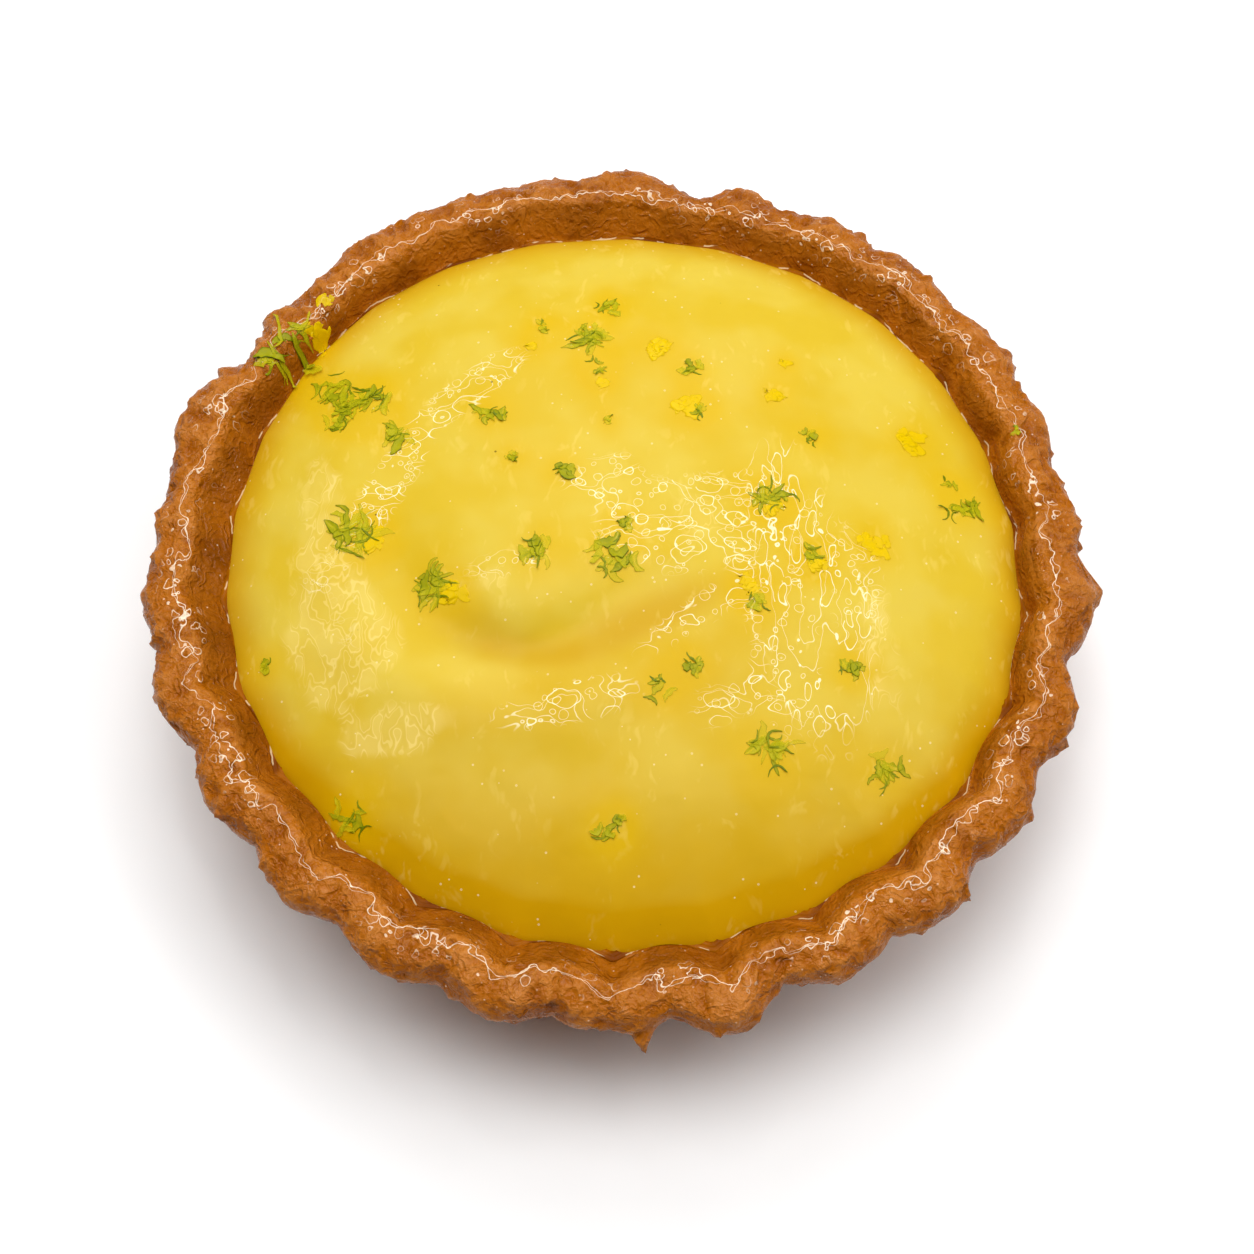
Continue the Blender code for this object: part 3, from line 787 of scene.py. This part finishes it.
def add_tuft(mesh, shade_layer, tuft, widths, lifts, threads, dice):
    x, y, spread, shreds = tuft
    count = FLAKES_FOR_SHRED * shreds
    start = dice.uniform(0, math.tau)
    for flake in range(count):
        heading = start + dice.gauss(0.0, HEADING_SPREAD)
        away = spread * TUFT_FILL * math.sqrt(dice.random()) * (flake > 0)
        around = dice.uniform(0, math.tau)
        middle = (x + away * math.cos(around), y + away * math.sin(around))
        thread = threads and flake % 3 == 2
        length = spread * dice.uniform(*(THREAD_LENGTHS if thread else FLAKE_LENGTHS))
        width = dice.uniform(*(THREAD_WIDTHS if thread else widths))
        shade = dice.uniform(*(THREAD_SHADES if thread else FLAKE_SHADES))
        points = flake_line(*middle, heading, length, dice.uniform(-FLAKE_CURL, FLAKE_CURL), dice)
        ends = [max(0.0, dice.uniform(*lifts)) * (THREAD_LIFT if thread else 1.0) for _ in range(2)]
        fold = dice.uniform(0, FLAKE_FOLD) * threads
        add_flake(mesh, shade_layer, points, width, ends, fold, shade, EDGE_SHADE * threads, dice)


def make_zest(name, tufts, glint_curls, widths, lifts, threads):
    dice = random.Random(ZEST_SEED + len(tufts))
    mesh = bmesh.new()
    shade_layer = mesh.verts.layers.float.new("shade")
    for tuft in tufts:
        add_tuft(mesh, shade_layer, tuft, widths, lifts, threads, dice)
    for x, y, degrees, length, bend, width, shade in glint_curls:
        points = flake_line(x, y, math.radians(degrees), length, bend, dice)
        add_flake(mesh, shade_layer, points, width, CURL_LIFTS, CURL_FOLD, shade, EDGE_SHADE, dice)
    bmesh.ops.recalc_face_normals(mesh, faces=mesh.faces)
    piece = keep_piece(mesh, name)
    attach(piece, "root")
    return piece


green_zest = make_zest("lime_zest", GREEN_TUFTS, RIM_CURLS, (0.4, 1.1), (-0.5, 0.25), True)
yellow_zest = make_zest("lemon_zest", YELLOW_TUFTS, (), (1.1, 1.9), (-0.3, 0.0), False)

# %% [markdown]
# ## Where the glaze wrinkled, and where light and shade are painted
# The glaze set with fine wrinkles in some places and stayed smooth in others, and the glints of its
# wrinkles are painted. Patches of painted sheen stand in for its broad reflection. The zest stained the
# curd under it a stronger yellow, and shade is painted in as a deeper golden yellow in the groove, along
# the edge and down the front. All of these are kept as numbers on the curd's points, worked out from
# ellipses, from the tufts and from the dome's slope.

# %% Keep the painted glints, sheen and shade, and the stains, on the curd
# Painted highlights: places where the glints of the glaze's wrinkles show.
WRINKLE_GLINT_PATCHES = (
    (-24.0, 7.0, 8.0, 2.4, 62, 0.9),
    (-15.5, 18.5, 7.0, 2.4, 38, 0.9),
    (-1.5, 6.5, 4.5, 3.0, 20, 0.7),
    (9.5, 1.5, 11.0, 5.5, 5, 1.0),
    (16.5, -10.0, 3.6, 12.0, 5, 1.0),
    (24.5, -6.0, 3.0, 8.0, 5, 0.6),
    (8.0, -9.0, 9.0, 1.8, 35, 0.7),
    (-5.0, -18.5, 8.0, 2.4, 12, 0.8),
    (-29.0, -6.0, 4.0, 9.0, 20, 0.35),
    (-12.5, -3.5, 6.0, 2.0, 10, 0.5),
    (11.0, -18.0, 6.0, 3.0, 20, 0.5),
)
COMBED = (
    (20.0, -9.0, 6.5, 13.0, 5, 1.0),
    (17.0, 6.0, 3.5, 6.0, 0, 0.8),
)
# Painted sheen: ellipses where the glaze's broad reflection of the light is painted pale.
SHEEN_PATCHES = (
    (-28.5, -10.0, 6.5, 8.5, 15, 1.0),
    (-22.0, -20.5, 6.0, 2.6, 8, 0.9),
    (-31.0, 4.0, 3.5, 8.0, 5, 0.6),
    (9.0, 1.0, 10.0, 5.0, 5, 0.35),
    (26.0, -11.0, 3.4, 11.0, 8, 0.55),
    (-14.0, -5.0, 6.0, 2.2, 12, 0.5),
)
# Painted shade: ellipses where the curd is painted a deeper golden yellow, mostly in and by the groove.
PAINTED_SHADE_PATCHES = (
    (3.0, -9.0, 9.5, 2.6, 24, 0.55),
    (-9.5, -12.6, 6.5, 1.8, -5, 0.35),
    (-14.5, -10.0, 5.5, 2.2, -25, 0.35),
    (5.0, -14.5, 14.0, 6.5, 15, 0.3),
    (-13.0, -18.0, 9.0, 3.5, 10, 0.2),
    (20.0, 16.0, 14.0, 5.0, -45, 0.1),
)
STAIN_REACH = 1.5
STAIN_FARTHEST = 6
PAINTED_SHADE_FRONT = (0.2, 0.95)
PAINTED_SHADE_FRONT_SHARE = 0.8
PAINTED_SHADE_RIM = 5.0
PAINTED_SHADE_RIM_SHARE = 0.85


def in_patches(x, y, patches):
    """Sum of soft ellipses, each given by centre, half sizes, turn in degrees and strength."""
    total = 0.0
    for middle_x, middle_y, half_x, half_y, degrees, strength in patches:
        turn = math.radians(degrees)
        along = ((x - middle_x) * math.cos(turn) + (y - middle_y) * math.sin(turn)) / half_x
        aside = ((y - middle_y) * math.cos(turn) - (x - middle_x) * math.sin(turn)) / half_y
        total += strength * math.exp(-((along**2 + aside**2) ** 1.5))
    return min(total, 1.0)


def stain(x, y):
    tufts = (tuft for tuft in GREEN_TUFTS + YELLOW_TUFTS if math.dist((x, y), tuft[:2]) < STAIN_FARTHEST)
    return min(sum(bell(math.dist((x, y), tuft[:2]), tuft[2] + STAIN_REACH) for tuft in tufts), 1.0)


def golden_painted_shade(x, y):
    """Painted shade: 0 on top of the dome, 1 low on its front and at its edge, and more in patches by the
    groove.
    """
    radius = math.hypot(x, y)
    edge = EDGE[0] + inside_shift(math.atan2(y, x))
    front = -y / max(radius, 1.0) * min(radius / edge, 1.0) ** (DOME_POWER - 1)
    rim = 1 - smooth_share(0.0, PAINTED_SHADE_RIM, edge - radius)
    share = PAINTED_SHADE_FRONT_SHARE * smooth_share(*PAINTED_SHADE_FRONT, front) + PAINTED_SHADE_RIM_SHARE * rim
    return min(share + in_patches(x, y, PAINTED_SHADE_PATCHES), 1.0)


plan = [(corner.co.x / MM, corner.co.y / MM) for corner in curd.data.vertices]
store_on_points(curd, "combed", [in_patches(x, y, COMBED) for x, y in plan])
store_on_points(curd, "wrinkle_glints", [in_patches(x, y, WRINKLE_GLINT_PATCHES) for x, y in plan])
store_on_points(curd, "painted_sheen", [in_patches(x, y, SHEEN_PATCHES) for x, y in plan])
store_on_points(curd, "stain", [stain(x, y) for x, y in plan])
store_on_points(curd, "golden_painted_shade", [golden_painted_shade(x, y) for x, y in plan])
print(len(WRINKLE_GLINT_PATCHES), "wrinkled places")

# %% [markdown]
# ## Maths on sockets
# A material is a small program. Wrapping a socket in a class with arithmetic lets the program be
# written as Python expressions, and each operator adds its Math node. Any other node comes from one
# method.

# %% A small language for materials
class Signal:
    """An output socket that can be added, multiplied and so on."""

    def __init__(self, material, socket):
        self.material = material
        self.socket = socket

    def maths(self, operation, first, second):
        return self.material.node("ShaderNodeMath", {"operation": operation}, {0: first, 1: second})

    def __add__(self, other):
        return self.maths("ADD", self, other)

    def __radd__(self, other):
        return self.maths("ADD", other, self)

    def __sub__(self, other):
        return self.maths("SUBTRACT", self, other)

    def __rsub__(self, other):
        return self.maths("SUBTRACT", other, self)

    def __mul__(self, other):
        return self.maths("MULTIPLY", self, other)

    def __abs__(self):
        return self.maths("ABSOLUTE", self, 0.0)


class Finish:
    """A material with one Principled shader and short ways to add nodes."""

    def __init__(self, name):
        self.data = bpy.data.materials.new(name)
        self.data.use_nodes = True
        self.tree = self.data.node_tree
        self.shader = self.tree.nodes["Principled BSDF"]

    def node(self, kind, settings=None, sockets=None, output=0):
        made = self.tree.nodes.new(kind)
        for name, value in (settings or {}).items():
            setattr(made, name, value)
        for key, value in (sockets or {}).items():
            self.feed(made.inputs[key], value)
        return Signal(self, made.outputs[output])

    def feed(self, socket, value):
        if isinstance(value, Signal):
            self.tree.links.new(value.socket, socket)
        else:
            socket.default_value = value

    def set(self, **sockets):
        """Sets sockets of the shader; Base_Color stands for Base Color."""
        for name, value in sockets.items():
            self.feed(self.shader.inputs[name.replace("_", " ")], value)

    def place(self):
        return self.node("ShaderNodeTexCoord", output="Object")

    def kept(self, name):
        """The number that the mesh keeps under this name."""
        return self.node("ShaderNodeAttribute", {"attribute_name": name}, {}, "Fac")

    def cells(self, pitch, place=None):
        """Distance to the nearest of points about pitch mm apart, and that point's random number."""
        sockets = {"Vector": place or self.place(), "Scale": 1 / (pitch * MM)}
        distance = self.node("ShaderNodeTexVoronoi", {}, sockets, "Distance")
        return distance, Signal(self, distance.socket.node.outputs["Color"])

    def vector(self, operation, first, second):
        sockets = {0: first, "Scale" if operation == "SCALE" else 1: second}
        return self.node("ShaderNodeVectorMath", {"operation": operation}, sockets)

    def warped(self, pitch, reach, stretch=(1.0, 1.0, 1.0)):
        """The place, pushed about by noise by up to reach mm, then stretched."""
        sockets = {"Vector": self.place(), "Scale": 1 / (pitch * MM), "Detail": 1.0}
        push = self.node("ShaderNodeTexNoise", {}, sockets, "Color")
        centred = self.vector("SUBTRACT", push, (0.5, 0.5, 0.5))
        moved = self.vector("ADD", self.place(), self.vector("SCALE", centred, 2 * reach * MM))
        return self.vector("MULTIPLY", moved, stretch)

    def drops(self, pitch, size, half_width, place):
        """Outlines of unlike drops about pitch mm apart: rings round the points of a cell pattern."""
        distance, chance = self.cells(pitch, place)
        return self.contour(distance - chance * size, size / 2, half_width)

    def contour(self, field, level, half_width):
        """1 on the line where field crosses level, 0 beyond it."""
        return 1 - self.step(abs(field - level), half_width * 0.5, half_width)

    def noise(self, pitch, detail=1.0, rough=0.5, place=None, distort=0.0):
        """Noise from 0 to 1 whose lumps are pitch mm apart."""
        sockets = {"Vector": place or self.place(), "Scale": 1 / (pitch * MM), "Detail": detail}
        sockets.update({"Roughness": rough, "Distortion": distort})
        return self.node("ShaderNodeTexNoise", {}, sockets, "Fac")

    def step(self, value, low, high):
        """0 to 1 as value goes from low to high, smoothly."""
        sockets = {"Value": value, "From Min": low, "From Max": high}
        return self.node("ShaderNodeMapRange", {"interpolation_type": "SMOOTHSTEP"}, sockets)

    def mix(self, share, first, second):
        """First colour where share is 0, second where it is 1."""
        settings = {"data_type": "RGBA"}
        return self.node("ShaderNodeMix", settings, {0: share, 6: first, 7: second}, 2)

    def bump(self, height, distance, strength=1.0):
        sockets = {"Height": height, "Distance": distance * MM, "Strength": strength}
        return self.node("ShaderNodeBump", {}, sockets)


def colour(red, green, blue):
    """A colour given by its display values from 0 to 255, as linear light."""
    shares = [value / 255 for value in (red, green, blue)]
    linear = [share / 12.92 if share <= 0.04045 else ((share + 0.055) / 1.055) ** 2.4 for share in shares]
    return (*linear, 1.0)


# %% [markdown]
# ## Baked and glazed pastry
# Shortcrust is more golden where it stands out; the tips of its crumbs are painted paler as highlights,
# and shade is painted into its hollows. Its skin dries into fine folds, a bump that catches the light;
# their crests are also painted paler as highlights, and the hollows between them painted dark as shade.
# Along the ridge of the lip the glaze's highlight is painted: a thin bright line with small loops and dots
# beside it. These lines are finer than the mesh, so they are colour. A bump of them as well would make the
# render slow and show little.

# %% Finish of the shell and of the bead
def pastry_finish():
    finish = Finish("glazed_pastry")
    relief, ridge = finish.kept("relief"), finish.kept("ridge")
    near_ridge = 1 - finish.step(abs(ridge), 0.5, 2.2)
    patches = finish.noise(5.0, 2.0, 0.55)
    toast = finish.step(patches + relief * 0.7, 0.36, 0.7)
    base = finish.mix(toast, colour(141, 73, 2), colour(172, 97, 9))
    outward = finish.step(ridge, -2.0, 2.5)
    base = finish.mix(outward * 0.3, base, colour(154, 76, 6))
    # Painted shade in the hollows of the dough's relief.
    painted_hollow_shade = finish.step(relief, -0.02, -0.25)
    base = finish.mix(painted_hollow_shade * 0.3, base, colour(118, 54, 2))
    folds = 1 - abs(finish.noise(1.5, 1.0, 0.5, distort=0.9) - 0.5) * 4.0
    creases = 1 - abs(finish.noise(0.75, 1.5, 0.6, distort=0.7) - 0.5) * 4.0
    # Painted highlight on the crests of the folds.
    painted_crest_highlights = finish.step(folds + creases, 1.1, 1.9)
    base = finish.mix(painted_crest_highlights * (0.1 + near_ridge * 0.1), base, colour(222, 148, 66))
    # Painted shade in the hollows between the folds.
    painted_fold_shade = finish.step(folds + creases, 0.5, -0.2)
    inner = finish.step(ridge, -0.6, -2.2)
    base = finish.mix(painted_fold_shade * (0.42 - inner * 0.34), base, colour(108, 46, 2))
    # Painted highlight on the tips of crumbs that stand out.
    painted_tip_highlights = finish.step(relief, 0.08, 0.34) * (1 - inner)
    base = finish.mix(painted_tip_highlights * 0.25, base, colour(220, 150, 78))
    # Painted shade on the inside: darker to the left and front, and in the creases.
    base = finish.mix(finish.kept("inner_shade") * inner, base, colour(114, 58, 3))
    pits = 1 - finish.step(finish.cells(1.5)[0], 0.05, 0.12)
    base = finish.mix(pits * 0.3, base, colour(126, 46, 4))
    # Painted highlights: loops, a thin thread and dots of glint along the ridge of the lip.
    glint_loops = finish.drops(1.5, 0.3, 0.04, finish.warped(1.2, 0.7)) * near_ridge
    glint_loops = glint_loops * finish.step(finish.noise(6.0, 1.0), 0.44, 0.54)
    wander = (finish.noise(2.6, 1.5, 0.5) - 0.5) * 4.0
    thread = finish.contour(ridge + wander, 0.0, 0.055) * finish.step(finish.noise(3.5, 1.0), 0.32, 0.42)
    strand = (finish.noise(1.7, 1.0, 0.5) - 0.5) * 2.4
    thread = thread + finish.contour(ridge + wander * 0.8 + strand, 0.25, 0.05) * 0.8
    glint_dots = 1 - finish.step(finish.cells(1.1)[0], 0.06, 0.11)
    glint_dots = glint_dots * finish.step(finish.noise(3.0), 0.42, 0.56)
    painted_shine = glint_loops + thread + glint_dots * 0.6
    base = finish.mix(painted_shine * 0.8, base, colour(252, 230, 202))
    grain = folds * 0.6 + creases * (0.35 - inner * 0.2) + finish.noise(0.4, 2.0, 0.6) * 0.4
    finish.set(
        Base_Color=base,
        Roughness=0.14 + finish.step(finish.noise(2.5), 0.4, 0.6) * 0.16,
        Specular_IOR_Level=0.12,
        Normal=finish.bump(grain, 0.3, 0.9),
    )
    return finish.data


def bead_finish():
    finish = Finish("amber_glaze")
    share = finish.step(finish.noise(4.0, 2.0), 0.4, 0.6)
    wander = (finish.noise(1.4, 1.0) - 0.5) * 0.5
    # Painted highlights: bright dashes of glint along the bead.
    glint_dashes = finish.contour(finish.kept("across") + wander, 0.08, 0.09)
    glint_dashes = glint_dashes * finish.step(finish.noise(2.2, 1.0), 0.52, 0.56)
    amber = finish.mix(share, colour(112, 54, 0), colour(150, 84, 2))
    finish.set(
        Base_Color=finish.mix(glint_dashes * 0.45, amber, colour(252, 228, 180)),
        Roughness=0.2,
        Specular_IOR_Level=0.03,
        Normal=finish.bump(finish.noise(1.2, 2.0), 0.12, 0.8),
    )
    return finish.data


shell.data.materials.append(pastry_finish())
bead.data.materials.append(bead_finish())

# %% [markdown]
# ## Glazed curd
# Lemon curd is a clouded yellow: light goes in, loses its blue and comes out again a little way off.
# That is subsurface scattering. The glaze over it makes it glossy. Where it dried into wrinkles, their
# glints are painted as fine pale lines in closed loops, and small bubble rings are painted as glints too.
# Most loops are rings round scattered points, and a few are contour lines through smooth noise, both bent
# by a second noise. On the right they are drawn out down the dome, as a brush combed them.

# %% Finish of the curd
def curd_finish():
    finish = Finish("glazed_curd")
    wrinkle_glints, painted_sheen, stained, golden_painted_shade = (
        finish.kept(name) for name in ("wrinkle_glints", "painted_sheen", "stain", "golden_painted_shade")
    )
    clouds = finish.noise(8.0, 2.0, 0.5)
    base = finish.mix(finish.step(clouds, 0.35, 0.65), colour(212, 179, 46), colour(216, 188, 68))
    # Painted shade: a deeper golden yellow low on the front, at the edge and in the groove.
    base = finish.mix(golden_painted_shade, base, colour(196, 147, 4))
    base = finish.mix(stained * 0.65, base, colour(214, 172, 0))
    film = finish.noise(3.2, 0.6, 0.4, distort=0.5)
    skin = finish.noise(1.5, 1.0, 0.4, finish.warped(2.4, 0.9, (1.0, 0.45, 1.0)))
    # Painted sheen: the glaze's broad reflection, painted pale with brighter rims and runs.
    sheen_patch = finish.step(painted_sheen + film * 0.8, 0.7, 1.1)
    sheen_rims = (finish.contour(skin, 0.46, 0.022) + finish.contour(skin, 0.57, 0.02)) * sheen_patch
    sheen_runs = finish.step(skin, 0.5, 0.58) * sheen_patch
    base = finish.mix(sheen_patch * 0.1 + sheen_runs * 0.1 + sheen_rims * 0.22, base, colour(252, 230, 150))
    wide = finish.warped(2.4, 0.8, (0.6, 1.1, 1.0))
    lakes = finish.noise(2.6, 0.5, 0.4, wide)
    glint_loops = finish.drops(2.6, 0.42, 0.013, wide) + finish.contour(lakes, 0.5, 0.007) * 0.7
    glint_loops = glint_loops + finish.contour(lakes, 0.6, 0.007) * 0.6
    glint_curls = finish.drops(1.3, 0.3, 0.026, finish.warped(1.6, 0.35))
    tall = finish.warped(2.4, 0.8, (1.0, 0.32, 1.0))
    combed_film = finish.noise(1.9, 0.5, 0.4, tall)
    long_glint_curls = finish.drops(1.5, 0.4, 0.022, tall) + finish.contour(combed_film, 0.52, 0.008) * 0.7
    flow = finish.warped(4.0, 1.5, (1.0, 0.4, 1.0))
    streaks = finish.noise(1.3, 2.0, 0.6, flow)
    shown = finish.step(wrinkle_glints + finish.noise(5.0, 1.0) * 0.5, 0.5, 0.8)
    combed = finish.step(finish.kept("combed") + finish.noise(5.0, 1.0) * 0.5, 0.5, 0.8)
    painted_glints = (glint_loops * (1 - combed) + glint_curls * 0.7) * shown + long_glint_curls * combed
    bubble_glints = finish.contour(finish.cells(1.3)[0], 0.06, 0.04)
    bubble_glints = bubble_glints * finish.step(finish.noise(4.0), 0.5, 0.56)
    flecks = finish.step(streaks, 0.56, 0.72) * finish.step(finish.noise(9.0, 1.0), 0.4, 0.6)
    base = finish.mix(flecks * 0.15, base, colour(250, 226, 130))
    # Painted highlights: the glints of the glaze's wrinkles and of small bubble rings.
    base = finish.mix(painted_glints * 0.8 + bubble_glints * 0.4, base, colour(255, 246, 205))
    specks = 1 - finish.step(finish.cells(5.0)[0], 0.02, 0.03)
    base = finish.mix(specks * 0.7, base, colour(80, 56, 8))
    swells = finish.noise(4.5, 2.0, 0.5)
    finish.set(
        Base_Color=base,
        Roughness=0.26,
        Specular_IOR_Level=0.05,
        Subsurface_Weight=0.12,
        Subsurface_Scale=0.002,
        Normal=finish.bump(swells, 0.35, 0.5),
    )
    finish.shader.inputs["Subsurface Radius"].default_value = (1.0, 0.8, 0.15)
    return finish.data


curd.data.materials.append(curd_finish())

# %% [markdown]
# ## Zest
# Lime zest is dark green on its outer face and pale where the pith shows. Lemon zest is a clear strong
# yellow. Each point of a flake carries a shade, which picks the colour. The paler a flake is, the more
# of the curd under it shows through.

# %% Finishes of the zest
def zest_finish(name, dark, light, rough, clear):
    finish = Finish(name)
    mottle = finish.noise(0.8, 2.0, 0.5)
    paleness = finish.step(finish.kept("shade") + mottle * 0.7, 0.2, 1.35)
    finish.set(
        Base_Color=finish.mix(paleness, dark, light),
        Roughness=rough,
        Alpha=0.95 - paleness * clear,
        Specular_IOR_Level=0.1,
        Normal=finish.bump(mottle, 0.15, 0.6),
    )
    return finish.data


lime_peel = zest_finish("lime_peel", colour(104, 118, 6), colour(216, 206, 22), 0.35, 0.6)
lemon_peel = zest_finish("lemon_peel", colour(240, 200, 0), colour(246, 210, 0), 0.3, 0.35)
green_zest.data.materials.append(lime_peel)
yellow_zest.data.materials.append(lemon_peel)
print("finishes:", len(bpy.data.materials))

# %% [markdown]
# ## The studio
# The tart stands on a white sweep. Soft lights hang above it, behind it and to both sides, and none in
# front, so the shadow falls to the front and the front of the dome is darker; the curd's colour paints
# more shade there as a deeper yellow. A small bright light puts a sharper glint on the glaze. A dim pale
# room fills the rest.

# %% Floor, lights and room
ROOM_LEVEL = 0.06
SWEEP_SIZE = 3.0
SOFTBOXES = (
    # name, bearing and height in degrees, distance, width and tallness in m, radiance
    ("above", 92, 88, 0.8, 0.3, 0.3, 4.3),
    ("back", 92, 50, 0.8, 0.45, 0.35, 4.4),
    ("left_back", 150, 72, 0.8, 0.45, 0.35, 2.0),
    ("left", 180, 72, 0.8, 0.45, 0.35, 3.0),
    ("right_back", 30, 72, 0.8, 0.45, 0.35, 3.5),
    ("right", 0, 50, 0.8, 0.45, 0.35, 3.1),
    ("glint", 95, 72, 0.7, 0.05, 0.05, 20.0),
)


def make_floor():
    mesh = bmesh.new()
    bmesh.ops.create_grid(mesh, x_segments=8, y_segments=8, size=SWEEP_SIZE)
    floor = keep_piece(mesh, "floor")
    finish = Finish("white_sweep")
    finish.set(Base_Color=(0.95, 0.95, 0.95, 1.0), Roughness=0.9, Specular_IOR_Level=0.0)
    floor.data.materials.append(finish.data)


def make_softbox(name, bearing, height, distance, wide, tall, level):
    """An oblong area light aimed at the tart, whose face has the given radiance."""
    light = bpy.data.lights.new(name, "AREA")
    light.shape = "RECTANGLE"
    light.size, light.size_y = wide, tall
    light.energy = level * math.pi * wide * tall
    lamp = bpy.data.objects.new(name, light)
    turn, tilt = math.radians(bearing), math.radians(height)
    away = Vector((math.cos(turn) * math.cos(tilt), math.sin(turn) * math.cos(tilt), math.sin(tilt)))
    lamp.location = away * distance
    lamp.rotation_mode = "QUATERNION"
    lamp.rotation_quaternion = away.to_track_quat("Z", "Y")
    bpy.context.scene.collection.objects.link(lamp)


def make_room():
    room = bpy.data.worlds.new("pale_room")
    bpy.context.scene.world = room
    room.use_nodes = True
    ground = room.node_tree.nodes["Background"]
    ground.inputs["Color"].default_value = (1.0, 0.99, 0.97, 1.0)
    ground.inputs["Strength"].default_value = ROOM_LEVEL


make_floor()
for softbox in SOFTBOXES:
    make_softbox(*softbox)
make_room()
bpy.context.scene.view_settings.view_transform = "Standard"
print(len(SOFTBOXES), "lights and a dim room")

# %% [markdown]
# ## The camera
# The picture was taken from the front, 64 degrees above the table, about 0.22 m from the rim's centre.
# The lens and the aim follow from the picture: the rim's centre sits a little above and to the left of
# its middle.

# %% Camera at the picture's angle
RIM_CENTRE_HEIGHT = 22.0
VIEW_ELEVATION = 64.0
VIEW_DISTANCE = 216.0
LENS = 58.7
AIM_RIGHT = 0.88
AIM_DOWN = 7.28


def make_camera():
    camera_data = bpy.data.cameras.new("camera")
    camera_data.lens = LENS
    camera_data.sensor_width = 36.0
    camera_data.clip_start = 0.01
    camera = bpy.data.objects.new("camera", camera_data)
    bpy.context.scene.collection.objects.link(camera)
    tilt = math.radians(VIEW_ELEVATION)
    back = Vector((0.0, -math.cos(tilt), math.sin(tilt)))
    up = Vector((0.0, math.sin(tilt), math.cos(tilt)))
    centre = Vector((0.0, 0.0, RIM_CENTRE_HEIGHT))
    aim = centre + Vector((AIM_RIGHT, 0.0, 0.0)) - AIM_DOWN * up
    eye = centre + VIEW_DISTANCE * back
    camera.location = eye * MM
    camera.rotation_euler = (eye - aim).to_track_quat("Z", "Y").to_euler()
    bpy.context.scene.camera = camera
    print("the camera stands", round(camera.location.length, 3), "m from the tart's foot")


make_camera()
